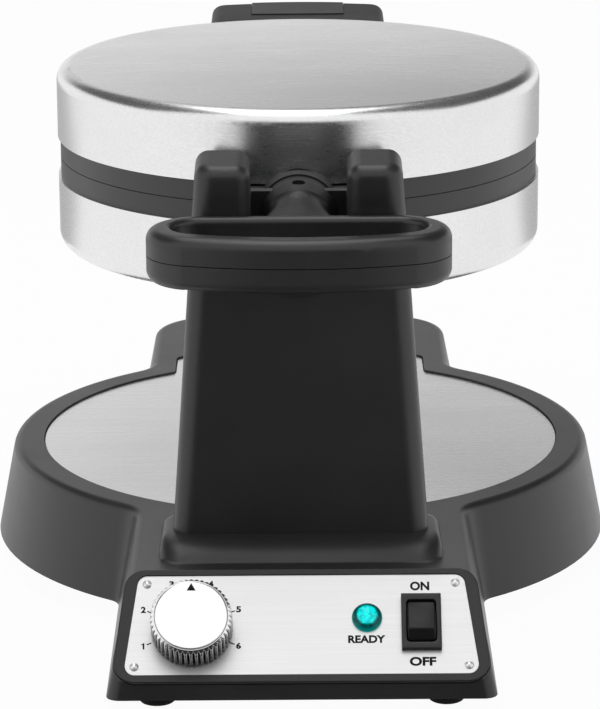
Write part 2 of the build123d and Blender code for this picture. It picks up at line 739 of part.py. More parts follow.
def tower_shell():
    body = tower_ears() + plinth()
    body -= tower_loft(TOWER_WALL, BASE_TOP - CUT, TOWER_ROOM_TOP)
    body -= rod(BEARING_R + RUN, SADDLE_FRONT - CUT, TOWER_BACK + CUT)
    body -= saddle_cut()
    body -= block(
        (-COVER_HALF + COVER_LEDGE, COVER_HALF - COVER_LEDGE),
        (TOWER_BACK - 3 * TOWER_WALL, TOWER_BACK + CUT),
        (COVER_LOW + COVER_LEDGE, COVER_HIGH - COVER_LEDGE),
    )
    body -= block(
        (-COVER_HALF - FIT, COVER_HALF + FIT),
        (TOWER_BACK - COVER_SHEET / 2, TOWER_BACK + CUT),
        (COVER_LOW - FIT, COVER_HIGH + FIT),
    )
    return body


def tower_cover():
    """Removable plate on the back of the tower, over the wiring."""
    ledge = COVER_LEDGE + FIT
    outer = block(
        (-COVER_HALF, COVER_HALF), (TOWER_BACK - COVER_SHEET / 2, TOWER_BACK), (COVER_LOW, COVER_HIGH)
    )
    inner = block(
        (-COVER_HALF + ledge, COVER_HALF - ledge),
        (TOWER_BACK - COVER_SHEET, TOWER_BACK),
        (COVER_LOW + ledge, COVER_HIGH - ledge),
    )
    return outer + inner


def tower_frame():
    """Folded steel channel that stands on the bottom plate inside the tower."""
    low, high = BOTTOM_Z + BOTTOM_SHEET, TOWER_ROOM_TOP
    outer = block((-FRAME_HALF, FRAME_HALF), (FRAME_FRONT, FRAME_BACK), (low, high))
    inner = block(
        (-FRAME_HALF + FRAME_SHEET, FRAME_HALF - FRAME_SHEET),
        (FRAME_FRONT + FRAME_SHEET, FRAME_BACK + CUT),
        (low - CUT, high - FRAME_SHEET),
    )
    return outer - inner


def hub_bearing():
    """Bearing liner in the tower, open at the top above the saddle wall."""
    ring = rod(BEARING_R, SADDLE_FRONT, TOWER_BACK)
    ring -= rod(JOURNAL_R + RUN, SADDLE_FRONT - CUT, TOWER_BACK + CUT)
    ring -= block((-REACH, REACH), (SADDLE_FRONT - CUT, TOWER_BACK + CUT), (SADDLE_TOP, TOWER_TOP))
    return ring - saddle_cut()


# Turning parts

def facing_front(y, outline):
    """Flat outline set upright at a depth, facing the front."""
    return Plane(origin=(0, y, AXIS_Z), x_dir=(1, 0, 0), z_dir=(0, -1, 0)) * outline


def hub_sleeve():
    body = rod(HUB_R, HUB_COLLAR, JOURNAL_FRONT) + rod(JOURNAL_R, JOURNAL_FRONT, HUB_BACK)
    y, half_width, half_height = NECK_SECTIONS[0]
    body += loft([
        facing_front(HUB_COLLAR, Circle(HUB_R)),
        facing_front(y, Ellipse(half_width, half_height)),
    ])
    body -= rod(HUB_BORE_R, HUB_FRONT - CUT, HUB_BACK + CUT)
    return body - disc(HUB_SCREW_R, AXIS_Z, AXIS_Z + 2 * HUB_R, 0, HUB_SCREW_Y)


def hub_screw():
    top = AXIS_Z + HUB_R - HUB_SHANK_R
    shank = disc(HUB_SHANK_R, AXIS_Z + LEAD_HOLE_R + CUT, top - CUT, 0, HUB_SCREW_Y)
    return shank + disc(HUB_SCREW_R - 2 * RUN, top - 2 * CUT, top, 0, HUB_SCREW_Y)


def bowed_plan(long, front, back, bow_radius, corner):
    """Outline with a straight back, straight ends and a front bowed outward."""
    half = long / 2
    side = front + bow_radius - math.sqrt(bow_radius**2 - half**2)
    plan = make_face([
        Line((-half, back), (half, back)),
        Line((half, back), (half, side)),
        ThreePointArc((half, side), (0, front), (-half, side)),
        Line((-half, side), (-half, back)),
    ])
    return fillet(plan.vertices(), corner)


def handle_ring():
    """Whole ring handle with its neck and the spigot that enters the hub."""
    inner_bow = RING_BOW_R - (RING_HOLE_FRONT - RING_FRONT)
    plan = bowed_plan(RING_LENGTH, RING_FRONT, RING_BACK, RING_BOW_R, RING_END_R)
    plan -= bowed_plan(
        RING_HOLE_LENGTH, RING_HOLE_FRONT, RING_HOLE_BACK, inner_bow, RING_HOLE_END_R
    )
    ring = Pos(0, 0, AXIS_Z) * extrude(plan, RING_HALF_HEIGHT, both=True)
    outer = [e for f in ring.faces().filter_by(Axis.Z) for e in f.outer_wire().edges()]
    ring = fillet(outer, RING_EDGE_R)
    inner = [
        e for f in ring.faces().filter_by(Axis.Z) for w in f.inner_wires() for e in w.edges()
    ]
    ring = fillet(inner, RING_HOLE_EDGE_R)
    neck = loft([facing_front(y, Ellipse(a, b)) for y, a, b in NECK_SECTIONS])
    return ring + neck + rod(HUB_BORE_R - RUN, HUB_FRONT - CUT, SPIGOT_BACK)


def ring_screw_places():
    """Centre of the two screws in the front bar of the ring handle."""
    half_bar = (RING_HOLE_FRONT - RING_FRONT) / 2
    radius = RING_BOW_R - half_bar
    y = RING_FRONT + half_bar + radius - math.sqrt(radius**2 - RING_SCREW_X**2)
    return [(sx * RING_SCREW_X, y) for sx in (-1, 1)]


def handle_halves():
    """Upper and lower half of the ring handle, parted at the turning axis."""
    whole = handle_ring()
    limits = ((-RING_LENGTH, RING_LENGTH), (RING_FRONT - CUT, HUB_BACK))
    upper = whole & block(*limits, (AXIS_Z + SEAM / 2, AXIS_Z + RING_LENGTH))
    lower = whole & block(*limits, (AXIS_Z - RING_LENGTH, AXIS_Z - SEAM / 2))
    for x, y in ring_screw_places():
        through = AXIS_Z - 2 * RING_HALF_HEIGHT
        upper -= disc(RING_SCREW_R + RUN, AXIS_Z, AXIS_Z + RING_HALF_HEIGHT / 2, x, y)
        lower -= disc(RING_SCREW_R + RUN, through, AXIS_Z, x, y)
        lower -= disc(RING_SCREW_HEAD_R + FIT, through, AXIS_Z + RING_SCREW_HEAD_Z, x, y)
    return upper, lower


def handle_screws():
    top = AXIS_Z + RING_HALF_HEIGHT / 2 - FIT
    seat = AXIS_Z + RING_SCREW_HEAD_Z
    screws = []
    for x, y in ring_screw_places():
        head = disc(RING_SCREW_HEAD_R, seat - RING_SCREW_HEAD, seat, x, y)
        screws.append(head + disc(RING_SCREW_R, seat - CUT, top, x, y))
    return group(screws)


def arm_screw_places():
    """Centre of the screw in the tail of each arm."""
    return [(sx * (ARM_IN + ARM_OUT) / 2, ARM_BACK - ARM_SCREW_INSET) for sx in (-1, 1)]


def arm_screw_holes(low, high):
    """Clearance holes for the arm screws between two heights above the parting."""
    holes = [disc(ARM_SCREW_R + RUN, AXIS_Z + low, AXIS_Z + high, x, y) for x, y in arm_screw_places()]
    return holes[0] + holes[1]


def hinge_arm(limits, high_side):
    """Arm from the hinge through the shell, stepped up behind it, along the back of the grid."""
    step = DISC_Y - math.sqrt((HEAD_R - SHELL_SHEET - NOTCH_GAP) ** 2 - ARM_OUT**2)
    arm = block(limits, (HINGE_Y, ARM_BACK), (AXIS_Z + ARM_LOW, AXIS_Z + ARM_NECK))
    arm += block(limits, (step, ARM_BACK), (AXIS_Z + ARM_LOW, AXIS_Z + ARM_HIGH))
    arm -= disc(GRID_BODY_R + GRID_GAP, AXIS_Z, AXIS_Z + GRID_BACK)
    arm -= arm_screw_holes(GRID_BACK - CUT, ARM_HIGH + CUT)
    return arm if high_side else mirrored(arm)


def arm_limits():
    """Left and right limits along X of the two arms."""
    return ((-ARM_OUT, -ARM_IN), (ARM_IN, ARM_OUT))


def head_yoke():
    """Casting that carries the lower half of the head and the hinge cheeks."""
    depth = (YOKE_FRONT, ARM_BACK)
    yoke = block((-ARM_OUT, ARM_OUT), depth, (AXIS_Z - YOKE_HALF_HEIGHT, AXIS_Z + YOKE_HALF_HEIGHT))
    yoke += rod(HUB_R, *depth)
    cheek = HINGE_PIN_R + CHEEK_WALL
    high_place = HINGE_Z + HINGE_FLOAT
    for left, right in ((-CHEEK_OUT, -CHEEK_IN), (CHEEK_IN, CHEEK_OUT)):
        yoke += block((left, right), (HINGE_Y - cheek, HINGE_Y + cheek), (AXIS_Z, high_place))
        yoke += pin(cheek, left, right, HINGE_Y, high_place)
    for limits in arm_limits():
        yoke += block(limits, depth, (AXIS_Z - ARM_NECK, AXIS_Z))
    yoke -= disc(HEAD_R + YOKE_GAP, 0, 2 * AXIS_Z)
    for limits in arm_limits():
        yoke += hinge_arm(limits, False)
    radius = HINGE_PIN_R + RUN
    ends = (-CHEEK_OUT - CUT, CHEEK_OUT + CUT)
    yoke -= pin(radius, *ends, HINGE_Y, HINGE_Z)
    yoke -= pin(radius, *ends, HINGE_Y, high_place)
    yoke -= block(ends, (HINGE_Y - radius, HINGE_Y + radius), (HINGE_Z, high_place))
    yoke += rod(HUB_BORE_R - RUN, SPIGOT_FRONT, YOKE_FRONT)
    yoke -= rod(LEAD_HOLE_R, SPIGOT_FRONT - CUT, ARM_BACK)
    return yoke - disc(HUB_SHANK_R + RUN, AXIS_Z, AXIS_Z + HUB_BORE_R + CUT, 0, HUB_SCREW_Y)


def hinge_pins():
    """Two short pins that carry the lid and ride up in the slots of the cheeks."""
    start, end = CHEEK_IN - CUT, ARM_OUT + PIN_GAP + PIN_HEAD
    pins = []
    for sx in (-1, 1):
        ends = sorted((sx * start, sx * end))
        heads = sorted((sx * (end - PIN_HEAD), sx * end))
        body = pin(HINGE_PIN_R, *ends, HINGE_Y, HINGE_Z)
        pins.append(body + pin(HINGE_PIN_R + PIN_HEAD, *heads, HINGE_Y, HINGE_Z))
    return group(pins)


def lid_hinge_arms():
    arms = []
    for limits in arm_limits():
        arm = hinge_arm(limits, True) + pin(ARM_BOSS_R, *limits, HINGE_Y, HINGE_Z)
        arms.append(arm - pin(HINGE_PIN_R + RUN, -HEAD_R, HEAD_R, HINGE_Y, HINGE_Z))
    return group(arms)


def arm_screws(high_side):
    """Screws that hold the arms' tails to the back of the grid."""
    top = AXIS_Z + ARM_HIGH
    screws = []
    for x, y in arm_screw_places():
        screw = disc(ARM_SCREW_HEAD_R, top, top + ARM_SCREW_HEAD, x, y)
        screw += disc(
            ARM_SCREW_R, AXIS_Z + GRID_BACK - ARM_SCREW_DEEP, top + ARM_SCREW_HEAD / 2, x, y
        )
        screws.append(screw if high_side else mirrored(screw))
    return group(screws)


# Head

def dished(radius, low, high, corner, crown):
    """Solid of revolution with a straight side, a round shoulder and a slight dome."""
    flat = radius - corner
    ball = (flat**2 + crown**2) / (2 * crown)
    mid_rise = crown - (ball - math.sqrt(ball**2 - flat**2 / 4))
    edge = [
        Line((0, low), (radius, low)),
        Line((radius, low), (radius, high - corner)),
        CenterArc((flat, high - corner), corner, 0, 90),
        ThreePointArc((flat, high), (flat / 2, high + mid_rise), (0, high + crown)),
        Line((0, high + crown), (0, low)),
    ]
    return Pos(0, DISC_Y, AXIS_Z) * revolve(Plane.XZ * make_face(edge), Axis.Z)


def head_shell():
    outer = dished(HEAD_R, SHELL_LOW, SHELL_HIGH, SHELL_SHOULDER_R, SHELL_CROWN)
    inner = dished(
        HEAD_R - SHELL_SHEET,
        SHELL_LOW - CUT,
        SHELL_HIGH - SHELL_SHEET,
        SHELL_SHOULDER_R - SHELL_SHEET,
        SHELL_CROWN,
    )
    shell = outer - inner
    for left, right in arm_limits():
        shell -= block(
            (left - NOTCH_GAP, right + NOTCH_GAP),
            (HINGE_Y, ARM_BACK),
            (AXIS_Z, AXIS_Z + ARM_NECK + NOTCH_GAP),
        )
    return shell - handle_tenons(FIT)


def handle_tenons(gap):
    """Two square tenons that fix a rear handle through the wall of its shell."""
    z = AXIS_Z + HANDLE_LOW + HANDLE_THICK / 2
    half = TENON_HALF + gap
    tenons = [
        block(
            (sx * TENON_X - half, sx * TENON_X + half), (TENON_FRONT, TENON_BACK), (z - half, z + half)
        )
        for sx in (-1, 1)
    ]
    return tenons[0] + tenons[1]


def head_band():
    ring = disc(BAND_R, AXIS_Z + PARTING, AXIS_Z + SHELL_LOW)
    spigot = (AXIS_Z + SHELL_LOW - CUT, AXIS_Z + SHELL_LOW + BAND_SPIGOT)
    ring += disc(HEAD_R - SHELL_SHEET - FIT, *spigot)
    return ring - disc(BAND_INNER_R, AXIS_Z, AXIS_Z + SHELL_HIGH)


def peg():
    """Tapered square peg that makes one pocket of the waffle."""
    return loft([
        Rectangle(PEG_FOOT, PEG_FOOT),
        Pos(0, 0, -PEG_HEIGHT) * Rectangle(PEG_HEAD, PEG_HEAD),
    ])


def peg_places():
    """Square pattern of pegs that fits inside the round pocket."""
    first = PEG_PITCH / 2
    steps = [first + PEG_PITCH * n for n in range(PEG_ROWS)]
    reach = GRID_POCKET_R - PEG_RIM_GAP
    return [
        (sx * x, sy * y)
        for x in steps
        for y in steps
        if math.hypot(x, y) < reach
        for sx in (-1, 1)
        for sy in (-1, 1)
    ]


def waffle_grid():
    """Cast grid plate: a round pocket full of pegs, with a cross of dividing ridges."""
    grid = disc(GRID_FLANGE_R, AXIS_Z + PARTING, AXIS_Z + PARTING + GRID_FLANGE)
    grid += disc(GRID_BODY_R, AXIS_Z + PARTING, AXIS_Z + GRID_BACK)
    floor = AXIS_Z + PARTING + GRID_DEPTH
    pocket = Pos(0, DISC_Y, floor) * Rot(180, 0, 0) * Cone(
        GRID_POCKET_R - GRID_DRAFT, GRID_POCKET_R, GRID_DEPTH + CUT, align=LOW
    )
    grid -= pocket
    one = peg()
    for x, y in peg_places():
        grid += Pos(x, DISC_Y + y, floor) * one
    for turn in (0, 90):
        ridge = Pos(0, 0, -RIDGE_HEIGHT) * Box(
            2 * (GRID_POCKET_R - GRID_DRAFT) + CUT, RIDGE_WIDTH, RIDGE_HEIGHT + CUT, align=LOW
        )
        grid += Pos(0, DISC_Y, floor) * Rot(0, 0, turn) * ridge
    return grid - arm_screw_holes(GRID_BACK - ARM_SCREW_DEEP - FIT, GRID_BACK + CUT)


def heater():
    """Tubular heating element on the back of the grid, with two straight tails."""
    z = AXIS_Z + GRID_BACK + HEATER_ROD_R
    start = -90 + HEATER_GAP_DEG / 2
    a = math.radians(start)
    begin = (HEATER_R * math.cos(a), HEATER_R * math.sin(a))
    path = Pos(0, DISC_Y, z) * CenterArc((0, 0, 0), HEATER_R, start, 360 - HEATER_GAP_DEG)
    profile = Plane(
        origin=(begin[0], DISC_Y + begin[1], z),
        x_dir=(math.cos(a), math.sin(a), 0),
        z_dir=(-math.sin(a), math.cos(a), 0),
    ) * Circle(HEATER_ROD_R)
    loop = sweep(profile, path)
    for sx in (-1, 1):
        front = DISC_Y + begin[1]
        loop += rod(HEATER_TAIL_R, front + CUT, front + HEATER_TAIL, sx * begin[0], z)
    return loop


def reflector():
    """Thin steel dish behind the heating element."""
    low = AXIS_Z + GRID_BACK + REFLECTOR_SEAT
    dish = disc(REFLECTOR_R, low, low + REFLECTOR_SHEET)
    for degrees in (90, 210, 330):
        x = POST_RING_R * math.cos(math.radians(degrees))
        y = DISC_Y + POST_RING_R * math.sin(math.radians(degrees))
        dish += disc(POST_R, AXIS_Z + GRID_BACK, low + REFLECTOR_SHEET / 2, x, y)
    return dish


def handle_form(grow):
    """Rear handle: a bowed block with soft edges, as thick as its shell is high."""
    width, long = HANDLE_WIDTH, HANDLE_BACK - HANDLE_BOW - DISC_Y
    bow = HANDLE_BOW + grow
    half = width / 2
    plan = make_face([
        Line((-half, DISC_Y), (half, DISC_Y)),
        Line((half, DISC_Y), (half, DISC_Y + long)),
        ThreePointArc((half, DISC_Y + long), (0, DISC_Y + long + bow), (-half, DISC_Y + long)),
        Line((-half, DISC_Y + long), (-half, DISC_Y)),
    ])
    ends = plan.vertices().sort_by(Axis.Y)[-2:]
    plan = fillet(ends, HANDLE_CORNER_R)
    low = AXIS_Z + HANDLE_LOW - grow
    body = Pos(0, 0, low) * extrude(plan, HANDLE_THICK + 2 * grow)
    flats = body.faces().filter_by(Axis.Z)
    edges = [e for f in flats for e in f.edges() if e.center().Y > DISC_Y + HANDLE_CORNER_R]
    body = fillet(edges, HANDLE_EDGE_R)
    return body - disc(HEAD_R + 2 * RUN, 0, 2 * AXIS_Z)


def grip_room(gap):
    """Space of the grip insert in the middle of a rear handle."""
    half = GRIP_HALF + gap
    return block((-half, half), (GRIP_FRONT - gap, REAR_Y), (AXIS_Z, AXIS_Z + HEAD_R))


def rear_handle():
    return handle_form(0) - grip_room(FIT) + handle_tenons(0) - disc(REFLECTOR_R + 6, 0, 2 * AXIS_Z)


def rear_grip():
    return handle_form(GRIP_PROUD) & grip_room(0)


upper_ring, lower_ring = handle_halves()
shell, band, grid = head_shell(), head_band(), waffle_grid()
element, dish = heater(), reflector()
handle, grip = rear_handle(), rear_grip()

PARTS = {
    "base_housing": base_housing(),
    "bottom_plate": bottom_plate(),
    "drip_plate": drip_plate(),
    "rubber_feet": rubber_feet(),
    "foot_screws": foot_screws(),
    "cord_inlet": cord_inlet(),
    "panel_bezel": panel_bezel(),
    "panel_plate": panel_plate(),
    "panel_rivets": panel_rivets(),
    "ready_lens": ready_lens(),
    "ready_lamp": ready_lamp(),
    "thermostat": thermostat(),
    "switch_frame": switch_frame(),
    "switch_terminals": switch_terminals(),
    "switch_rocker": switch_rocker(),
    "knob_body": knob_body(),
    "knob_cap": knob_cap(),
    "knob_shaft": knob_shaft(),
    "tower_shell": tower_shell(),
    "tower_cover": tower_cover(),
    "tower_frame": tower_frame(),
    "hub_bearing": hub_bearing(),
    "hub_sleeve": hub_sleeve(),
    "hub_screw": hub_screw(),
    "rotary_handle_upper": upper_ring,
    "rotary_handle_lower": lower_ring,
    "rotary_handle_screws": handle_screws(),
    "head_yoke": head_yoke(),
    "hinge_pins": hinge_pins(),
    "lid_hinge_arms": lid_hinge_arms(),
    "lid_arm_screws": arm_screws(True),
    "yoke_screws": arm_screws(False),
    "lid_shell": shell,
    "lid_band": band,
    "lid_grid": grid,
    "lid_heater": element,
    "lid_reflector": dish,
    "lid_handle": handle,
    "lid_handle_grip": grip,
    "lower_shell": mirrored(shell),
    "lower_band": mirrored(band),
    "lower_grid": mirrored(grid),
    "lower_heater": mirrored(element),
    "lower_reflector": mirrored(dish),
    "lower_handle": mirrored(handle),
    "lower_handle_grip": mirrored(grip),
}

for name, shape in PARTS.items():
    save(name, shape)
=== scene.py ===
import math

import bmesh
import bpy
import numpy as np
from mathutils import Matrix, Vector


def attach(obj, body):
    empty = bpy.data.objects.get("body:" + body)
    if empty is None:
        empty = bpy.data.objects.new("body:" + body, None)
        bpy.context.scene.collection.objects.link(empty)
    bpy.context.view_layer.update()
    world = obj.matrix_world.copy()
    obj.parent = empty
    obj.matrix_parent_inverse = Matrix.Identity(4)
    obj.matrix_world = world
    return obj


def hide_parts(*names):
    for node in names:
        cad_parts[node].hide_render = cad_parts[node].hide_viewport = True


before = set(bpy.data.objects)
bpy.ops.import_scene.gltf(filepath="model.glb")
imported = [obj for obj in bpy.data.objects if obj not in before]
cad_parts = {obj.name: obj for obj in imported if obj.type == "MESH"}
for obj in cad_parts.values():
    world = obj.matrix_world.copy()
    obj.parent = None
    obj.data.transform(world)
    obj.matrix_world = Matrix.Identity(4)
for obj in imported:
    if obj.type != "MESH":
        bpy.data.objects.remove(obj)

scene = bpy.context.scene
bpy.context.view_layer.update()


# Studio. A white sweep and plain soft boxes, with grey and dark cards that only
# reflections see, as a photographer sets them out to give steel its contrast.

def add(tree, kind, props=None, inputs=None):
    """A shader node with its properties, and its sockets set or linked by name or number."""
    made = tree.nodes.new(kind)
    for key, value in (props or {}).items():
        setattr(made, key, value)
    for key, value in (inputs or {}).items():
        if isinstance(value, bpy.types.NodeSocket):
            tree.links.new(value, made.inputs[key])
        else:
            made.inputs[key].default_value = value
    return made


def maths(tree, operation, a, b=0.0, clamp=False):
    """One sum, product or other operation on two numbers."""
    props = {"operation": operation, "use_clamp": clamp}
    return add(tree, "ShaderNodeMath", props, {0: a, 1: b}).outputs[0]


def object_place(tree):
    """Places in metres, in the frame that all pieces share."""
    return add(tree, "ShaderNodeTexCoord").outputs["Object"]


def split(tree, vector):
    """The x, y and z of a vector."""
    return add(tree, "ShaderNodeSeparateXYZ", None, {0: vector}).outputs


def span(tree, value, low, high, first, last, curve="LINEAR"):
    """A number carried from the range low to high to the range first to last."""
    return add(
        tree, "ShaderNodeMapRange", {"interpolation_type": curve},
        {0: value, 1: low, 2: high, 3: first, 4: last},
    ).outputs[0]


def bare(holder):
    """The node tree of a material or a world, emptied."""
    holder.use_nodes = True
    holder.node_tree.nodes.clear()
    return holder.node_tree


def seen_directly(tree):
    """One for camera, glossy and transmission rays, nothing for the rest."""
    rays = add(tree, "ShaderNodeLightPath")
    both = maths(tree, "ADD", rays.outputs["Is Camera Ray"], rays.outputs["Is Glossy Ray"])
    return maths(tree, "ADD", both, rays.outputs["Is Transmission Ray"], clamp=True)


def link_piece(name, mesh):
    """An object of a mesh, at the origin."""
    piece = bpy.data.objects.new(name, mesh)
    scene.collection.objects.link(piece)
    return piece


def card(name, corners):
    """A flat sheet through four corners, part of the studio."""
    mesh = bpy.data.meshes.new(name)
    mesh.from_pydata(corners, [], [(0, 1, 2, 3)])
    piece = link_piece(name, mesh)
    return piece


WHITE = (1, 1, 1, 1)
AMBIENT = 0.42
world = bpy.data.worlds.new("studio")
scene.world = world
sky = bare(world)
strength = maths(sky, "MAXIMUM", seen_directly(sky), AMBIENT)
light = add(sky, "ShaderNodeBackground", None, {"Color": WHITE, "Strength": strength})
add(sky, "ShaderNodeOutputWorld", None, {"Surface": light.outputs[0]})

FLOOR_HALF = 6.0
PAPER = (0.86, 0.86, 0.86, 1)
SHADOW_SHARE = 0.05
floor = card("floor", [
    (-FLOOR_HALF, -FLOOR_HALF, 0), (FLOOR_HALF, -FLOOR_HALF, 0),
    (FLOOR_HALF, FLOOR_HALF, 0), (-FLOOR_HALF, FLOOR_HALF, 0),
])
paper = bpy.data.materials.new("white_sweep")
tree = bare(paper)
matt = add(tree, "ShaderNodeBsdfDiffuse", None, {"Color": PAPER})
white = add(tree, "ShaderNodeEmission", None, {"Color": WHITE, "Strength": 1.0})
share = maths(tree, "MULTIPLY", seen_directly(tree), 1 - SHADOW_SHARE)
both = add(tree, "ShaderNodeMixShader", None, {0: share, 1: matt.outputs[0], 2: white.outputs[0]})
add(tree, "ShaderNodeOutputMaterial", None, {"Surface": both.outputs[0]})
floor.data.materials.append(paper)


def reflected_card(name, grey, corners):
    """A card that only reflections see. Its grey is a number, or is made in its tree."""
    cloth = bpy.data.materials.new(name)
    tree = bare(cloth)
    if callable(grey):
        grey = grey(tree)
    shade = add(tree, "ShaderNodeEmission", None, {"Color": WHITE, "Strength": grey})
    add(tree, "ShaderNodeOutputMaterial", None, {"Surface": shade.outputs[0]})
    sheet = card(name, corners)
    sheet.data.materials.append(cloth)
    sheet.visible_camera = False
    sheet.visible_diffuse = False
    sheet.visible_shadow = False
    sheet.visible_transmission = False


CARD_LIFT = 0.001    # of the cards that lie on the floor
BACK_Y, FRONT_Y = 2.5, -1.7
ROOF_FRONT = -0.45


def upright(y, half, low, high):
    """Corners of a card that stands across the view."""
    return [(-half, y, low), (half, y, low), (half, y, high), (-half, y, high)]


def lying(near, near_half, far, far_half):
    """Corners of a card on the floor in front of the object, wider at one end."""
    return [
        (-near_half, near, CARD_LIFT), (near_half, near, CARD_LIFT),
        (far_half, far, CARD_LIFT), (-far_half, far, CARD_LIFT),
    ]


def roof(outer, inner, low, high):
    """Corners of a card that leans in over one side like half a roof."""
    return [
        (outer, ROOF_FRONT, low), (inner, ROOF_FRONT, high),
        (inner, BACK_Y, high), (outer, BACK_Y, low),
    ]


def back_shade(tree):
    """Pale at the lower edge and on the left, and darker upwards and to the right."""
    x, _, z = split(tree, object_place(tree))
    across = span(tree, x, -0.75, 0.58, 0.64, 0.02, "SMOOTHSTEP")
    upwards = span(tree, z, 0.60, 1.05, 0.0, 1.0, "SMOOTHSTEP")
    fade = maths(tree, "MULTIPLY", maths(tree, "SUBTRACT", 1.0, across), upwards)
    return maths(tree, "SUBTRACT", 1.0, fade)


def near_shade(tree):
    """Dark along the middle and white at both sides."""
    aside = maths(tree, "ABSOLUTE", split(tree, object_place(tree))[0])
    return span(tree, aside, 0.075, 0.21, 0.03, 1.0, "SMOOTHSTEP")


reflected_card("card_near", near_shade, lying(-0.20, 0.23, -0.42, 0.23))
reflected_card("card_floor", 0.24, lying(-0.42, 0.23, FRONT_Y, 0.85))
reflected_card("card_front", 0.03, upright(FRONT_Y, half=0.85, low=0, high=0.8))
reflected_card("card_back", back_shade, upright(BACK_Y, half=1.9, low=0.5, high=2.5))
reflected_card("card_left", 0.06, roof(outer=-1.9, inner=-0.50, low=1.15, high=1.62))
reflected_card("card_right", 0.06, roof(outer=1.9, inner=0.30, low=1.05, high=1.70))
LOW_NEAR, LOW_FAR, LOW_INNER = 0.35, 1.5, 0.22    # of the two grey cards beside the object
for name, side in (("card_low_left", -1), ("card_low_right", 1)):
    reflected_card(name, 0.45, [
        (side * LOW_INNER, LOW_NEAR, CARD_LIFT), (side * LOW_INNER, LOW_FAR, CARD_LIFT),
        (side * 0.95, LOW_FAR, CARD_LIFT), (side * 0.60, LOW_NEAR, CARD_LIFT),
    ])


def soft_box(name, place, target, width, height, watts):
    """A rectangular lamp that looks from its place to a target."""
    lamp = bpy.data.lights.new(name, "AREA")
    lamp.shape = "RECTANGLE"
    lamp.size, lamp.size_y, lamp.energy = width, height, watts
    holder = bpy.data.objects.new(name, lamp)
    scene.collection.objects.link(holder)
    holder.location = place
    holder.rotation_euler = (Vector(target) - Vector(place)).to_track_quat("-Z", "Y").to_euler()
    return holder


soft_box("top_box", (0.0, 0.15, 1.7), (0, 0.0, 0.1), width=1.5, height=1.2, watts=11)
side_boxes = [
    soft_box("left_box", (-1.5, -0.55, 0.9), (0, 0, 0.12), width=0.8, height=1.2, watts=9),
    soft_box("right_box", (1.5, -0.45, 0.8), (0, 0, 0.12), width=0.8, height=1.2, watts=5.5),
]
for holder in side_boxes:
    holder.visible_glossy = False


# Camera. It stands where the photograph was taken from, worked out from the
# ellipses of the head and the corners of the control panel.

PHOTO_HIGH = 709
FOCAL_PIXELS = 3570.1
CAMERA_PLACE = (0.0001, -1.3734, 0.4729)
CAMERA_ROLL = math.radians(-0.37)
ABOVE_SINE, ABOVE_COSINE = 0.2748, 0.9615    # of its angle above the level
eye = bpy.data.cameras.new("camera")
eye.sensor_fit = "VERTICAL"
eye.sensor_height = 36.0
eye.lens = FOCAL_PIXELS / PHOTO_HIGH * eye.sensor_height
eye.clip_start, eye.clip_end = 0.05, 30
camera = bpy.data.objects.new("camera", eye)
scene.collection.objects.link(camera)
back = Vector((0, -ABOVE_COSINE, ABOVE_SINE))
level, rise = Vector((1, 0, 0)), Vector((0, ABOVE_SINE, ABOVE_COSINE))
right = level * math.cos(CAMERA_ROLL) + rise * math.sin(CAMERA_ROLL)
over = rise * math.cos(CAMERA_ROLL) - level * math.sin(CAMERA_ROLL)
turn = Matrix((right, over, back)).transposed().to_4x4()
camera.matrix_world = Matrix.Translation(CAMERA_PLACE) @ turn
scene.camera = camera
scene.view_settings.view_transform = "Standard"


# Base housing. One moulding of dark ABS, with the mould's fine spark texture, a faint
# mottle where the melt cooled, and a gloss that varies a little in patches.

def group(name, inputs, outputs):
    """An empty shader group with sockets of the kinds named, and its two end nodes."""
    kinds = {"value": "NodeSocketFloat", "vector": "NodeSocketVector", "colour": "NodeSocketColor"}
    made = bpy.data.node_groups.new(name, "ShaderNodeTree")
    for title, kind, start in inputs:
        socket = made.interface.new_socket(title, in_out="INPUT", socket_type=kinds[kind])
        if start is not None:
            socket.default_value = start
    for title, kind in outputs:
        made.interface.new_socket(title, in_out="OUTPUT", socket_type=kinds[kind])
    return made, made.nodes.new("NodeGroupInput").outputs, made.nodes.new("NodeGroupOutput")


def mix(tree, share, a, b, blend="MIX"):
    """Blend of two colours by a share from 0 to 1."""
    props = {"data_type": "RGBA", "blend_type": blend}
    return add(tree, "ShaderNodeMix", props, {0: share, 6: a, 7: b}).outputs[2]


def noise(tree, place, scale, detail, rough=0.5):
    """Soft noise from 0 to 1."""
    return add(tree, "ShaderNodeTexNoise", None, {
        "Vector": place, "Scale": scale, "Detail": detail, "Roughness": rough}).outputs["Fac"]


def bump(tree, height, strength, distance):
    """A normal that a height leans over."""
    return add(tree, "ShaderNodeBump", None, {
        "Strength": strength, "Distance": distance, "Height": height}).outputs[0]


def put_out(tree, ending, **values):
    """Join values to the outputs of a group by name."""
    for title, value in values.items():
        tree.links.new(value, ending.inputs[title])


SURFACE = [("Colour", "colour"), ("Roughness", "value"), ("Normal", "vector")]
moulded, got, ending = group("moulded_surface", [
    ("Vector", "vector", None), ("Colour", "colour", (0.01, 0.01, 0.01, 1)),
    ("Pale", "colour", (0.03, 0.03, 0.03, 1)), ("Smooth", "value", 0.3), ("Rough", "value", 0.45),
    ("Grain", "value", 2600.0), ("Depth", "value", 0.1),
], SURFACE)
spark = noise(moulded, got["Vector"], got["Grain"], 3.0, 0.6)
cloud = noise(moulded, got["Vector"], 22.0, 4.0, 0.55)
rub = noise(moulded, got["Vector"], 95.0, 6.0, 0.7)
patches = span(moulded, cloud, 0.0, 1.0, -0.6, 1.6)
speckle = span(moulded, spark, 0.0, 1.0, -0.4, 1.0)
mottle = maths(moulded, "MULTIPLY", patches, 0.35, clamp=True)
tone = maths(moulded, "ADD", mottle, maths(moulded, "MULTIPLY", speckle, 0.3), clamp=True)
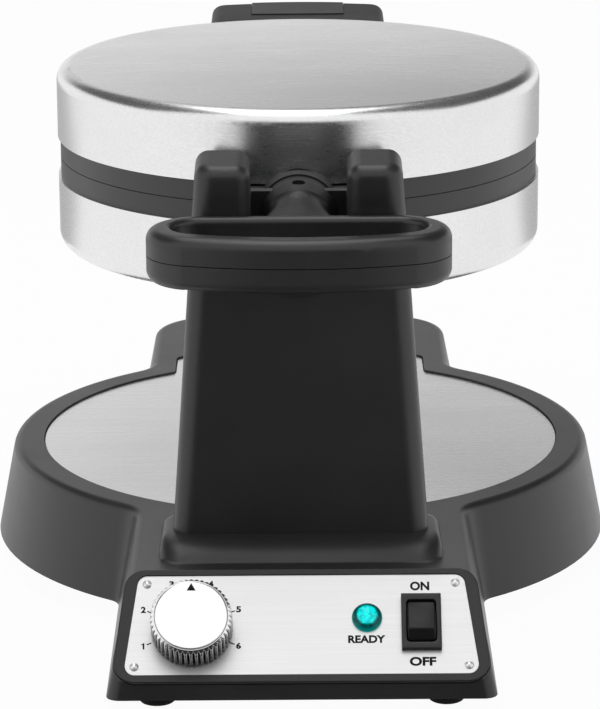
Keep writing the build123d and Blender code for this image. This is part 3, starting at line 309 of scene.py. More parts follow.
wipe = maths(moulded, "ADD", maths(moulded, "MULTIPLY", patches, 0.5),
             maths(moulded, "MULTIPLY", rub, 0.5), clamp=True)
put_out(
    moulded, ending,
    Colour=mix(moulded, tone, got["Colour"], got["Pale"]),
    Roughness=span(moulded, wipe, 0.0, 1.0, got["Smooth"], got["Rough"]),
    Normal=bump(moulded, spark, got["Depth"], 0.0002),
)


def new_finish(name, **sockets):
    """A material with its Principled shader, whose plain values are set by name."""
    material = bpy.data.materials.new(name)
    tree = bare(material)
    shader = add(tree, "ShaderNodeBsdfPrincipled")
    for key, value in sockets.items():
        shader.inputs[key.replace("_", " ")].default_value = value
    add(tree, "ShaderNodeOutputMaterial", None, {"Surface": shader.outputs[0]})
    return material, tree, shader


def wear_surface(tree, shader, surface, values):
    """Place a surface group with its values, and join what it puts out to the shader."""
    made = add(tree, "ShaderNodeGroup", {"node_tree": surface}, values)
    for out, into in (("Colour", "Base Color"), ("Roughness", "Roughness"), ("Normal", "Normal")):
        tree.links.new(made.outputs[out], shader.inputs[into])


def plastic(name, colour, pale, smooth, rough, grain, depth, **sockets):
    """Moulded plastic of one colour, with the pale tone of its mottle."""
    material, tree, shader = new_finish(name, **sockets)
    wear_surface(tree, shader, moulded, {
        "Vector": object_place(tree), "Colour": (*colour, 1), "Pale": (*pale, 1),
        "Smooth": smooth, "Rough": rough, "Grain": grain, "Depth": depth})
    return material


def dress(names, material):
    """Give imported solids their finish."""
    for name in names:
        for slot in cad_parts[name].material_slots:
            slot.material = material


housing_black = plastic("housing_abs", (0.013, 0.013, 0.0135), (0.034, 0.034, 0.035),
                        smooth=0.30, rough=0.44, grain=2400.0, depth=0.22, IOR=1.52)
dress(["base_housing"], housing_black)


# Feet. Soft black rubber pads with the dull bloom of their moulding, each held in
# its pocket under the base by a screw.

dress(["rubber_feet"], plastic(
    "foot_rubber", (0.005, 0.005, 0.005), (0.012, 0.012, 0.012),
    smooth=0.7, rough=0.9, grain=1500.0, depth=0.4,
    IOR=1.4, Specular_IOR_Level=0.25))


# Drip plate and bottom plate. Steel sheet: the drip plate is brushed in one direction
# with a belt, so fine scratches run along it, and the bottom plate is plain.

brushed, got, ending = group("brushed_sheet", [
    ("Vector", "vector", None), ("Stretch", "vector", (6.0, 1200.0, 1200.0)),
    ("Colour", "colour", (0.7, 0.7, 0.7, 1)), ("Streak", "colour", (0.6, 0.6, 0.6, 1)),
    ("Smooth", "value", 0.2), ("Rough", "value", 0.36), ("Depth", "value", 0.08),
], SURFACE)
SMUDGE_STRETCH = (14.0, 34.0, 34.0)
drawn = add(brushed, "ShaderNodeVectorMath", {"operation": "MULTIPLY"}, {
    0: got["Vector"], 1: got["Stretch"]})
wide = add(brushed, "ShaderNodeVectorMath", {"operation": "MULTIPLY"}, {
    0: got["Vector"], 1: SMUDGE_STRETCH})
lines = noise(brushed, drawn.outputs[0], 1.0, 5.0, 0.75)
smudge = noise(brushed, wide.outputs[0], 1.0, 3.0)
share = maths(brushed, "ADD", maths(brushed, "MULTIPLY", lines, 0.75),
              maths(brushed, "MULTIPLY", smudge, 0.25), clamp=True)
contrast = span(brushed, share, 0.0, 1.0, -0.7, 1.7)
put_out(
    brushed, ending,
    Colour=mix(brushed, contrast, got["Colour"], got["Streak"]),
    Roughness=span(brushed, contrast, 0.0, 1.0, got["Smooth"], got["Rough"]),
    Normal=bump(brushed, lines, got["Depth"], 0.0001),
)


def steel(name, stretch, colour, streak, smooth, rough, depth, tilt=0.0):
    """Brushed steel whose scratches run along the small number of the stretch."""
    material, tree, shader = new_finish(name, Metallic=1.0)
    place = add(tree, "ShaderNodeMapping", None, {
        "Vector": object_place(tree), "Rotation": (tilt, 0, 0)})
    wear_surface(tree, shader, brushed, {
        "Vector": place.outputs[0], "Stretch": stretch, "Colour": (*colour, 1),
        "Streak": (*streak, 1), "Smooth": smooth, "Rough": rough, "Depth": depth})
    return material


def metal(name, colour, streak, smooth, rough, depth, scale=900.0):
    """Turned or pressed metal, whose fine marks run all ways."""
    return steel(name, (scale, scale, scale), colour, streak, smooth, rough, depth)


dress(["drip_plate"], steel(
    "drip_plate_steel", (20.0, 1500.0, 1500.0), (0.94, 0.94, 0.94), (0.87, 0.87, 0.87),
    smooth=0.24, rough=0.33, depth=0.03))
plain_steel = metal("plain_steel", (0.50, 0.50, 0.50), (0.40, 0.40, 0.40),
                    smooth=0.30, rough=0.48, depth=0.06, scale=300.0)
dress(["bottom_plate"], plain_steel)


# Foot screws. Zinc-plated pan heads with a cross recess, driven up through the feet
# and the bottom plate into bosses of the base.

def mesh_piece(name, points, faces, body, material, smooth=True):
    """A finished piece that rides on a body and has a finish."""
    mesh = bpy.data.meshes.new(name)
    mesh.from_pydata(points, [], faces)
    mesh.update()
    if smooth:
        mesh.shade_smooth()
    piece = link_piece(name, mesh)
    mesh.materials.append(material)
    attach(piece, body)
    return piece


def stack(patches):
    """Several sets of points and faces as one set."""
    points, faces, start = [], [], 0
    for part_points, part_faces in patches:
        points.append(np.asarray(part_points, float).reshape(-1, 3))
        faces += [[start + k for k in face] for face in part_faces]
        start += len(points[-1])
    return np.concatenate(points), faces


WELD = 1e-6                 # metres within which points are one
SHARP = math.radians(38)    # an edge that turns more than this isn't smoothed


def closed_piece(name, patches, place, body, material, replaced=None):
    """Closed surfaces in mm as one piece: doubles merged, faces turned outwards."""
    points, faces = stack(patches)
    piece = mesh_piece(name, place(points), faces, body, material)
    solid = bmesh.new()
    solid.from_mesh(piece.data)
    bmesh.ops.remove_doubles(solid, verts=solid.verts, dist=WELD)
    bmesh.ops.recalc_face_normals(solid, faces=solid.faces)
    solid.to_mesh(piece.data)
    solid.free()
    piece.data.set_sharp_from_angle(angle=SHARP)
    if replaced:
        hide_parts(replaced)


def to_metres(points):
    """Points given in mm in the object's own frame."""
    return points / 1000


def grid_quads(rows, columns):
    """Faces of a grid of points whose last column joins its first."""
    down = np.arange(rows - 1)[:, None] * columns
    across = np.arange(columns)[None, :]
    beside = (across + 1) % columns
    quads = np.stack((
        down + across, down + beside, down + columns + beside, down + columns + across), -1)
    return quads.reshape(-1, 4).tolist()


SCREW_DOME, RECESS_DEEP = 0.35, 0.9
RECESS_HALF, RECESS_REACH = 0.17, 0.62    # shares of the head's radius
RECESS_WALL, RECESS_END = 0.05, 0.12      # how wide its sloping walls are, as shares too


def screw_surface(x, y, face, seat, tip, head, shank):
    """A screw along Z. The head's face is a square grid drawn into a disc by
    x sqrt(1 - y^2 / 2), domed by a parabola, with a cross sunk where |x| or |y| is small."""
    out = math.copysign(1, face - seat)
    side = np.linspace(-1, 1, 25)
    a, b = np.meshgrid(side, side, indexing="ij")
    disc = np.stack((a * np.sqrt(1 - b**2 / 2), b * np.sqrt(1 - a**2 / 2)), -1)
    dome = SCREW_DOME * (1 - (disc**2).sum(-1))
    small, large = np.sort(np.abs(np.stack((a, b), -1)), -1).transpose(2, 0, 1)
    sunk = np.clip((RECESS_HALF - small) / RECESS_WALL, 0, 1)
    sunk = sunk * np.clip((RECESS_REACH - large) / RECESS_END, 0, 1)
    high = face + out * (dome - SCREW_DOME - RECESS_DEEP * sunk)
    top = np.concatenate((disc * head + (x, y), high[..., None]), -1)
    n = len(side)
    start = np.arange(n - 1)[:, None] * n + np.arange(n - 1)[None, :]
    quads = np.stack((start, start + 1, start + n + 1, start + n), -1).reshape(-1, 4).tolist()
    border = np.concatenate((top[0, :-1], top[:-1, -1], top[-1, :0:-1], top[:0:-1, 0]))
    centre = np.array((x, y, 0))
    flat = (border - centre) * (1, 1, 0) / head
    rings = [border]
    for radius, level in ((head, seat), (shank, seat), (shank, tip), (0, tip)):
        rings.append(centre + flat * radius + (0, 0, level))
    return [
        (top.reshape(-1, 3), quads),
        (np.concatenate(rings), grid_quads(len(rings), len(border))),
    ]


screw_steel = metal("screw_steel", (0.50, 0.49, 0.47), (0.34, 0.33, 0.31),
                    smooth=0.24, rough=0.42, depth=0.08)
FOOT_PLACES = ((-52.0, -171.0), (52.0, -171.0), (-47.0, 168.0), (47.0, 168.0))
foot_heads = [
    part for x, y in FOOT_PLACES
    for part in screw_surface(x, y, face=1.8, seat=4.0, tip=20.3, head=3.3, shank=1.45)
]
closed_piece("foot_screw_set", foot_heads, to_metres, "base", screw_steel,
             "foot_screws")


# Panel bezel and cord inlet. Separate mouldings, a shade blacker than the base: the
# bezel frames the sloping panel, and the inlet snaps into the back of the rear block.

dress(["panel_bezel", "cord_inlet"], plastic(
    "bezel_abs", (0.009, 0.009, 0.0095), (0.020, 0.020, 0.021),
    smooth=0.28, rough=0.42, grain=2600.0, depth=0.18, IOR=1.5))


# Panel plate and rivets. A thin brushed steel plate on the slope of the panel, held
# by four satin push rivets at its corners.

TILT = math.radians(46.5)
dress(["panel_plate"], steel(
    "panel_steel", (14.0, 1700.0, 1700.0), (0.84, 0.84, 0.84), (0.76, 0.76, 0.76),
    smooth=0.30, rough=0.42, depth=0.06, tilt=-TILT))
dress(["panel_rivets"], plastic(
    "rivet_satin", (0.86, 0.86, 0.86), (0.92, 0.92, 0.92),
    smooth=0.30, rough=0.42, grain=900.0, depth=0.02,
    IOR=1.5, Metallic=0.6))


# Legend on the panel plate. Black ink, screen printed: the dial's numbers and their
# ticks, the words of the switch and the word under the lamp.

PANEL_ORIGIN = np.array((0.0, -177.25, 30.5))
PANEL_AXES = np.array((
    (1.0, 0.0, 0.0),
    (0.0, math.cos(TILT), math.sin(TILT)),
    (0.0, -math.sin(TILT), math.cos(TILT)),
))
PLATE_FACE = 0.3
INK = 0.03
DIAL_PRINT = (-39.4, -0.6)
DIGIT_RING, TICK_INNER, TICK_OUTER, TICK_WIDE = 18.4, 15.2, 16.9, 0.44
DIGIT_HIGH, DIGIT_WIDTHS = 2.4, (1.75, 1.75, 1.85, 1.75, 1.75)
FONT_SWELL = 0.042


def on_panel(points):
    """Points given in mm across, up and out of the panel, carried to their place in metres."""
    return (PANEL_ORIGIN + np.asarray(points) @ PANEL_AXES) / 1000


def at_height(outline, high):
    """Flat points given one height."""
    return np.column_stack((outline, np.full(len(outline), high)))


def letters(text, cap, width, x, up):
    """Flat outlines of a word, stretched to a cap height and width about a centre."""
    curve = bpy.data.curves.new("ink", "FONT")
    curve.body = text
    curve.offset = FONT_SWELL
    curve.resolution_u = 6
    holder = bpy.data.objects.new("ink", curve)
    mesh = bpy.data.meshes.new_from_object(holder)
    points = np.empty(3 * len(mesh.vertices))
    mesh.vertices.foreach_get("co", points)
    points = points.reshape(-1, 3)
    low, high = points.min(0), points.max(0)
    faces = [list(face.vertices) for face in mesh.polygons]
    scale = np.array((width / (high[0] - low[0]), cap / (high[1] - low[1]), 0))
    points = (points - (low + high) / 2) * scale + (x, up, PLATE_FACE + INK)
    bpy.data.objects.remove(holder)
    bpy.data.meshes.remove(mesh)
    return points, faces


def dial_place(number, radius):
    """Where a number of the dial stands: 45 degrees apart, 1 at the lower left."""
    turn = math.radians(-112.5 + 45 * (number - 1))
    return DIAL_PRINT[0] + radius * math.sin(turn), DIAL_PRINT[1] + radius * math.cos(turn)


def tick(number):
    """A short radial line between the knob and its number."""
    a = np.array(dial_place(number, TICK_INNER))
    b = np.array(dial_place(number, TICK_OUTER))
    along = (b - a) / np.linalg.norm(b - a)
    side = np.array((-along[1], along[0])) * TICK_WIDE / 2
    corners = np.array((a - side, b - side, b + side, a + side))[::-1]
    return at_height(corners, PLATE_FACE + INK), [[0, 1, 2, 3]]


def digit_one(x, up):
    """The number one as an outline: an upright bar with a short flag."""
    outline = np.array((
        (-0.04, -1.2), (0.54, -1.2), (0.54, 1.2), (0.12, 1.2),
        (-0.04, 0.92), (-0.55, 0.74), (-0.55, 0.36), (-0.04, 0.46),
    ))
    return at_height(outline + (x, up), PLATE_FACE + INK), [list(range(len(outline)))]


ink_patches = [
    digit_one(*dial_place(1, DIGIT_RING)),
    letters("READY", cap=3.0, width=13.3, x=23.2, up=-5.4),
    letters("ON", cap=3.45, width=6.9, x=42.4, up=15.07),
    letters("OFF", cap=3.45, width=9.4, x=43.0, up=-14.06),
]
for number, width in enumerate(DIGIT_WIDTHS, 2):
    ink_patches.append(letters(str(number), DIGIT_HIGH, width, *dial_place(number, DIGIT_RING)))
ink_patches += [tick(number) for number in range(1, 7)]
ink_points, ink_faces = stack(ink_patches)
ink = plastic("legend_ink", (0.010, 0.010, 0.010), (0.020, 0.020, 0.020),
              smooth=0.60, rough=0.80, grain=3000.0, depth=0.05,
              IOR=1.4, Specular_IOR_Level=0.1)
mesh_piece("panel_legend", on_panel(ink_points), ink_faces, "base", ink, False)


# Browning control. A chromed fluted knob with a satin cap and a printed pointer, on
# the steel shaft of a ceramic thermostat behind the panel.

DIAL = (-39.0, -1.1)
KNOB_R, KNOB_TOP, KNOB_FOOT = 14.6, 12.5, 0.5
FLUTES, FLUTE_DEEP = 46, 1.05
BORE_R, BORE_TOP = 3.1, 9.5
CAP_SEAT_R, CAP_SEAT, CAP_TOP = 13.05, 10.5, 12.9


def turned(rows, turn):
    """Points of rings about an axis, one ring for each row of radii and its height."""
    points = [
        np.stack((radius * np.cos(turn), radius * np.sin(turn), np.full_like(turn, high)), -1)
        for radius, high in rows
    ]
    return np.concatenate(points), grid_quads(len(rows), len(turn))


def knob_rings():
    """A fluted drum. Its radius dips into V grooves, R - d (1 - |sin(n t / 2)|)^1.2, and the
    chamfer at the top cuts across them, so its edge comes out scalloped."""
    turn = np.linspace(0, 2 * np.pi, FLUTES * 8, endpoint=False)
    fluted = KNOB_R - FLUTE_DEEP * (1 - np.abs(np.sin(FLUTES * turn / 2))) ** 1.2
    rows = [(0.0, BORE_TOP), (BORE_R, BORE_TOP), (BORE_R, KNOB_FOOT), (fluted - 0.4, KNOB_FOOT)]
    rows += [(fluted, high) for high in (0.9, 3.5, 6.0, 8.5, 10.9)]
    rows += [
        (np.minimum(fluted, KNOB_R - 0.9 * (high - 11.1)), high)
        for high in (11.2, 11.5, 11.8, 12.1, 12.35)
    ]
    rows += [(CAP_SEAT_R + 0.3, KNOB_TOP), (CAP_SEAT_R + 0.1, KNOB_TOP)]
    rows += [(CAP_SEAT_R, KNOB_TOP - 0.1), (CAP_SEAT_R, CAP_SEAT), (0.0, CAP_SEAT)]
    return turned(rows, turn)


def placed_at(spot):
    """What carries points given in mm from a spot of the panel to their place in metres."""
    return lambda points: on_panel(points + (*spot, 0))


def round_a_spot(tree, spot):
    """Distance in mm from an axis that stands on a spot of the panel, and height above it."""
    local = add(tree, "ShaderNodeMapping", {"vector_type": "TEXTURE"}, {
        "Vector": object_place(tree), "Location": Vector(on_panel(np.array((*spot, 0)))),
        "Rotation": (TILT, 0, 0), "Scale": (0.001, 0.001, 0.001)})
    x, y, height = split(tree, local.outputs[0])
    flat = add(tree, "ShaderNodeCombineXYZ", None, {0: x, 1: y})
    reach = add(tree, "ShaderNodeVectorMath", {"operation": "LENGTH"}, {0: flat.outputs[0]})
    return reach.outputs["Value"], height


def ramp(tree, value, low, high, stops):
    """Colours by position between two values."""
    made = add(tree, "ShaderNodeValToRGB", None, {"Fac": span(tree, value, low, high, 0.0, 1.0)})
    while len(made.color_ramp.elements) < len(stops):
        made.color_ramp.elements.new(0.5)
    for stop, (place, colour) in zip(made.color_ramp.elements, stops):
        stop.position = place
        stop.color = (*colour, 1)
    return made.outputs["Color"]


def greys(*stops):
    """Stops of a ramp from places and their greys."""
    return [(place, (grey, grey, grey)) for place, grey in stops]


# Painted shade in the chrome's colour: it darkens towards the foot of the drum and into the flute
# valleys, but not on the chamfer at the top.
chrome, tree, shader = new_finish("knob_chrome", Metallic=1.0, Roughness=0.16)
reach, height = round_a_spot(tree, DIAL)
painted_shade_by_height = ramp(tree, height, 0.0, KNOB_TOP, greys(
    (0.0, 0.01), (0.22, 0.03), (0.50, 0.17), (0.80, 0.45), (0.92, 0.88)))
painted_valley_shade = ramp(tree, reach, KNOB_R - FLUTE_DEEP, KNOB_R, greys(
    (0.0, 0.03), (0.4, 0.22), (0.75, 1.0)))
at_rim = span(tree, height, 10.5, 11.1, 0.0, 1.0)
painted_valley_shade_to_rim = mix(tree, at_rim, painted_valley_shade, WHITE)
tree.links.new(mix(tree, 1.0, painted_shade_by_height, painted_valley_shade_to_rim, "MULTIPLY"), shader.inputs["Base Color"])
closed_piece("knob_drum", [knob_rings()], placed_at(DIAL), "knob", chrome,
             "knob_body")
dress(["knob_cap"], metal(
    "knob_satin", (0.97, 0.97, 0.97), (0.95, 0.95, 0.95), smooth=0.26, rough=0.34, depth=0.01))
pointer = at_height([(-1.6, 9.4), (1.6, 9.4), (0, 12.3)], CAP_TOP + INK)
mesh_piece("knob_pointer", placed_at(DIAL)(pointer), [[0, 1, 2]], "knob", ink,
           False)
dress(["knob_shaft"], plain_steel)
dress(["thermostat"], plastic(
    "thermostat_ceramic", (0.70, 0.68, 0.62), (0.80, 0.78, 0.73),
    smooth=0.5, rough=0.7, grain=1400.0, depth=0.2, IOR=1.5))


# Ready lamp. A clear neon lamp in the stem of a domed turquoise lens, which is pushed
# through the panel plate. The lens glows at its middle, with a dark ring at its rim.

LAMP = (23.4, 2.8)
LAMP_SEEN = (LAMP[0], LAMP[1] + 0.25)    # middle of the lit core
LENS_R, LENS_RISE, LENS_RIM = 5.45, 3.2, 0.4
STEM_R, STEM_BORE, STEM_FOOT, BORE_END = 4.0, 2.55, -4.5, 0.15
GLOW_REACH = 6.4    # radius at which the ramp of its colours ends


def lens_rings():
    """A hollow stem under a cap of an ellipse: radius R cos t, height h sin t."""
    rows = [(0.0, BORE_END), (STEM_BORE, BORE_END), (STEM_BORE, STEM_FOOT), (STEM_R, STEM_FOOT)]
    rows += [(STEM_R, PLATE_FACE), (LENS_R, PLATE_FACE)]
    rows += [
        (LENS_R * math.cos(t), PLATE_FACE + LENS_RIM + (LENS_RISE - LENS_RIM) * math.sin(t))
        for t in np.radians(np.linspace(0, 90, 14))
    ]
    return turned(rows, np.linspace(0, 2 * np.pi, 64, endpoint=False))


glow, tree, shader = new_finish("lens_turquoise", IOR=1.42, Roughness=0.08, Specular_IOR_Level=0.35,
                                Emission_Strength=1.0)
reach, _ = round_a_spot(tree, LAMP_SEEN)
facets = noise(tree, object_place(tree), 1100.0, 2.0)
ripple = maths(tree, "ADD", reach, maths(tree, "MULTIPLY", facets, 0.9))
bands = ramp(tree, ripple, 0.0, GLOW_REACH, [
    (0.0, (0.0, 0.90, 0.88)), (0.59, (0.0, 0.74, 0.72)), (0.66, (0.0, 0.16, 0.15)),
    (0.74, (0.0, 0.015, 0.015)), (0.83, (0.0, 0.07, 0.065)), (0.95, (0.0, 0.17, 0.15)),
])
clouds = noise(tree, object_place(tree), 700.0, 3.0)
share = span(tree, clouds, 0.42, 0.62, 0.0, 0.45)
lit = mix(tree, share, bands, (0.0, 0.10, 0.10, 1))
tree.links.new(lit, shader.inputs["Emission Color"])
tree.links.new(mix(tree, 0.8, lit, (0, 0, 0, 1)), shader.inputs["Base Color"])
closed_piece("ready_lens_cap", [lens_rings()], placed_at(LAMP), "base",
             glow, "ready_lens")
dress(["ready_lamp"], plastic(
    "lamp_glass", (0.5, 0.9, 0.88), (0.6, 0.95, 0.93),
    smooth=0.05, rough=0.1, grain=500.0, depth=0.02, IOR=1.5))


# Rocker switch. A glossy black nylon rocker in a matt black frame, snapped into the
# panel plate, with brass tabs behind.

SWITCH = (42.7, 0.7)
FRAME_HALF, FRAME_CORNER = (7.1, 10.6), 0.3
WINDOW_HALF, WINDOW_CORNER = (5.3, 8.2), 1.35
FRAME_TOP, FRAME_FOOT = 2.8, -3.5
ROCKER_HALF = (5.0, 7.65)
ROCKER_CORNER, ROCKER_EDGE = 1.2, 0.55
ROCKER_FOOT, FOOT_SHARE = -4.0, 0.91
ROCKER_FACE = (    # place along the rocker, from the end by OFF, and height
    (-7.65, 2.3), (-4.1, 4.75), (-3.75, 4.9), (-3.4, 4.8), (-1.0, 4.45), (2.0, 3.85),
    (5.0, 3.05), (7.65, 2.15),
)


def rounded_outline(half, corner, per_corner=7):
    """Plan of a rectangle with round corners, the same number of points for any size."""
    arc = np.linspace(0, np.pi / 2, per_corner)
    turn = np.concatenate([arc + k * np.pi / 2 for k in range(4)])
    centre = np.repeat(np.array(((1, 1), (-1, 1), (-1, -1), (1, -1))), per_corner, axis=0)
    inner = centre * (np.array(half) - corner)
    return inner + corner * np.column_stack((np.cos(turn), np.sin(turn)))


def rings_of(outlines):
    """Closed outlines, each with its height, joined one after another."""
    rings = [at_height(outline, high) for outline, high in outlines]
    return np.concatenate(rings), grid_quads(len(rings), len(rings[0]))


def frame_rings():
    """A flat frame: outlines up the outside, over the top and down inside the window."""
    steps = ((0, FRAME_FOOT), (0, FRAME_TOP - 0.25), (0.08, FRAME_TOP - 0.08), (0.25, FRAME_TOP))
    levels = [(FRAME_HALF, FRAME_CORNER, inset, high) for inset, high in steps]
    steps = ((-0.3, FRAME_TOP), (-0.08, FRAME_TOP - 0.08), (0, FRAME_TOP - 0.3), (0, FRAME_FOOT))
    levels += [(WINDOW_HALF, WINDOW_CORNER, inset, high) for inset, high in steps]
    levels.append(levels[0])
    return rings_of([
        (rounded_outline(np.array(half) - inset, max(corner - inset, 0.05)), high)
        for half, corner, inset, high in levels
    ])


def rocker_rings():
    """Cross sections along the rocker: its face is a line through the end, the ridge and
    the other end, drawn into a curve, and both its ends and its corners are round. Its foot
    is shorter than its face, which leaves it room to tilt."""
    half, long = ROCKER_HALF
    end = np.array((0.0, 0.04, 0.15, 0.3, 0.5, 0.8, 1.2, 1.6)) - long
    middle = np.linspace(end[-1], -end[-1], 34)[1:-1]
    along = np.concatenate((end, middle, -end[::-1]))
    face = np.interp(along, *np.transpose(ROCKER_FACE))
    inward = long - np.abs(along)
    face = face - ROCKER_EDGE * (1 - np.sqrt(1 - np.clip(1 - inward / ROCKER_EDGE, 0, 1) ** 2))
    inset = np.clip(1 - inward / ROCKER_CORNER, 0, 1)
    width = half - ROCKER_CORNER * (1 - np.sqrt(1 - inset**2))
    arc = np.radians((0, 22, 45, 67, 90))
    side = 1 - ROCKER_EDGE / half * (1 - np.cos(arc))
    side = np.concatenate(((-1.0,), -side, side[::-1], (1.0,)))
    sink = ROCKER_EDGE * (1 - np.sin(arc))
    drop = np.concatenate(((0,), sink, sink[::-1], (0,)))
    high = face[:, None] - drop
    high[:, (0, -1)] = ROCKER_FOOT
    rows = np.stack((width[:, None] * side, along[:, None] + 0 * high, high), -1)
    rows[:, (0, -1), 1] *= FOOT_SHARE
    near, far = (np.broadcast_to(row.mean(0), row.shape)[None] for row in (rows[0], rows[-1]))
    rows = np.concatenate((near, rows, far))
    return rows.reshape(-1, 3), grid_quads(len(rows), rows.shape[1])


frame_black = plastic("switch_frame_nylon", (0.011, 0.011, 0.0115), (0.022, 0.022, 0.023),
                      smooth=0.34, rough=0.46, grain=2600.0, depth=0.1, IOR=1.5)
closed_piece("switch_bezel", [frame_rings()], placed_at(SWITCH), "base",
             frame_black, "switch_frame")
rocker_black = plastic("rocker_nylon", (0.006, 0.006, 0.0065), (0.013, 0.013, 0.014),
                       smooth=0.26, rough=0.36, grain=2600.0, depth=0.04,
                       IOR=1.45, Specular_IOR_Level=0.35)
closed_piece("rocker_key", [rocker_rings()], placed_at(SWITCH), "rocker",
             rocker_black, "switch_rocker")
dress(["switch_terminals"], metal(
    "terminal_brass", (0.72, 0.52, 0.24), (0.58, 0.40, 0.16), smooth=0.2, rough=0.4, depth=0.05))


# Tower. A tapered shell of the base's ABS and its back cover, round a folded steel
# frame. Its front runs out into the base in a soft rolled foot of the same black.

TOWER_LOW, TOWER_HIGH = 45.0, 190.2
TOWER_HALF_LOW, TOWER_HALF_HIGH = 47.3, 36.9
TOWER_FRONT, ROLL_REAR = -136.04, -111.0
ROLL_OUT, ROLL_ASIDE, ROLL_BACK = 16.0, 4.5, 0.5    # how far it spreads to each side
ROLL_CORNER, CORNER_SPREAD = 7.0, 2.0
ROLL_SKIN = 0.04    # how far it stands off the tower's face
FOOT_ROLL = (    # share of the way out, and height
    (-0.2, 51.3), (0.0, 51.3), (0.12, 51.2), (0.24, 51.0), (0.36, 50.65), (0.48, 50.1),
    (0.59, 49.35), (0.69, 48.45), (0.78, 47.45), (0.86, 46.4), (0.92, 45.5), (0.97, 44.9),
    (1.0, 44.6), (-0.2, 44.6), (-0.2, 51.3),
)


def roll_rings():
    """Rounded rectangles round the tower, their size and height following the roll's outline.
    At the sides it bulges sooner, by 1 - (1 - share)^2.4."""
    slope = (TOWER_HALF_HIGH - TOWER_HALF_LOW) / (TOWER_HIGH - TOWER_LOW)
    outlines = []
    for share, high in FOOT_ROLL:
        aside = 1 - (1 - share) ** 2.4 if share > 0 else share
        half = TOWER_HALF_LOW + slope * (high - TOWER_LOW) + ROLL_ASIDE * aside + ROLL_SKIN
        front, rear = TOWER_FRONT - ROLL_OUT * share, ROLL_REAR + ROLL_BACK * max(share, 0)
        corner = ROLL_CORNER + CORNER_SPREAD * share
        outline = rounded_outline((half, (rear - front) / 2), corner, per_corner=10)
        outlines.append((outline + (0, (front + rear) / 2), high))
    return rings_of(outlines)


dress(["tower_shell", "tower_cover"], housing_black)
dress(["tower_frame"], plain_steel)
closed_piece("tower_roll", [roll_rings()], to_metres, "base", housing_black)


# Hub. A dull black phenolic sleeve that turns in a nylon bearing on top of the tower.
# Its neck flares out into the ring handle, and a screw from above holds the two.

AXIS_Z = 162.25
NECK = [    # place along Y, half width and half height
    (-116.8, 13.2, 13.6), (-118.0, 12.2, 13.2), (-121.0, 11.9, 12.6), (-124.5, 12.6, 12.1),
    (-128.0, 14.0, 11.3), (-132.0, 16.2, 10.5), (-136.5, 18.4, 9.8), (-141.0, 20.5, 9.3),
]


def neck_flare():
    """Ellipses along the neck, from the hub's face out to the ring, that widen as they go."""
    turn = np.linspace(0, 2 * np.pi, 72, endpoint=False)
    sections = [(NECK[0][0], 0.0, 0.0), *NECK, (NECK[-1][0], 0.0, 0.0)]
    points = [
        np.column_stack((wide * np.cos(turn), np.full_like(turn, y), AXIS_Z + high * np.sin(turn)))
        for y, wide, high in sections
    ]
    return np.concatenate(points), grid_quads(len(sections), len(turn))


hub_black = plastic("hub_phenolic", (0.007, 0.007, 0.0075), (0.016, 0.016, 0.017),
                    smooth=0.34, rough=0.48, grain=2800.0, depth=0.16,
                    IOR=1.48, Specular_IOR_Level=0.36)
dress(["hub_sleeve"], hub_black)
closed_piece("neck_flare", [neck_flare()], to_metres, "head", hub_black)
dress(["hub_bearing"], plastic(
    "bearing_nylon", (0.014, 0.014, 0.015), (0.03, 0.03, 0.031),
    smooth=0.35, rough=0.5, grain=1200.0, depth=0.1, IOR=1.53))
hub_head = screw_surface(
    0, -109.0, face=AXIS_Z + 13.2, seat=AXIS_Z + 11.2, tip=AXIS_Z + 6.0, head=2.3, shank=1.4)
closed_piece("hub_screw_set", hub_head, to_metres, "head", screw_steel, "hub_screw")


# Ring handle. Two bowed halves of heat-proof phenolic, a little glossier than the
# housing where hands polish it, joined by two screws from below.

RING_BOW, RING_FRONT, RING_SCREW_X = 133.05, -175.05, 38.0
handle_black = plastic("handle_phenolic", (0.013, 0.013, 0.0135), (0.030, 0.030, 0.031),
                       smooth=0.28, rough=0.42, grain=2800.0, depth=0.16, IOR=1.52)
dress(["rotary_handle_upper", "rotary_handle_lower"], handle_black)
bar_y = RING_FRONT + RING_BOW - math.sqrt(RING_BOW**2 - RING_SCREW_X**2)
ring_heads = [part for x in (-RING_SCREW_X, RING_SCREW_X) for part in screw_surface(
    x, bar_y, face=AXIS_Z - 7.0, seat=AXIS_Z - 5.0, tip=AXIS_Z + 4.6, head=2.8, shank=1.5)]
closed_piece("ring_screw_set", ring_heads, to_metres, "head", screw_steel,
             "rotary_handle_screws")


# Yoke and hinge. A black enamelled casting carries the lower half of the head. The
# lid's arms swing on plain steel pins that float in the casting's slots.

dress(["head_yoke", "lid_hinge_arms"], plastic(
    "yoke_enamel", (0.012, 0.012, 0.0125), (0.026, 0.026, 0.027),
    smooth=0.40, rough=0.56, grain=1600.0, depth=0.3, IOR=1.5))
dress(["hinge_pins"], plain_steel)
dress(["lid_arm_screws", "yoke_screws"], screw_steel)


# Shells and bands of the head. Two drawn steel shells, brushed from side to side, each
# closed at its open edge by a band of black phenolic.

dress(["lid_shell", "lower_shell"], steel(
    "shell_steel", (60.0, 1300.0, 1300.0), (0.89, 0.89, 0.892), (0.76, 0.76, 0.762),
    smooth=0.24, rough=0.33, depth=0.03))
dress(["lid_band", "lower_band"], plastic(
    "band_phenolic", (0.018, 0.018, 0.0185), (0.042, 0.042, 0.043),
    smooth=0.3, rough=0.44, grain=2400.0, depth=0.12, IOR=1.58))


# Grids, heaters and reflectors inside the head. Cast aluminium with a dark non-stick
# coat, a sheathed element discoloured by heat, and bright aluminium behind it.

HEAD_Y = 10.0
GRID_PITCH, GRID_REACH, GRID_FLOOR = 19.0, 72.3, AXIS_Z - 13.15
PEG_FOOT, PEG_HEAD, PEG_RISE = 12.4, 8.8, 11.0
FILLET, EDGE, SUNK = 1.1, 0.9, 0.3
PEG_SPREAD, PEG_CROWN = 1.0, 0.02    # of its foot past the square, and of its head's middle
SQUARENESS = 7


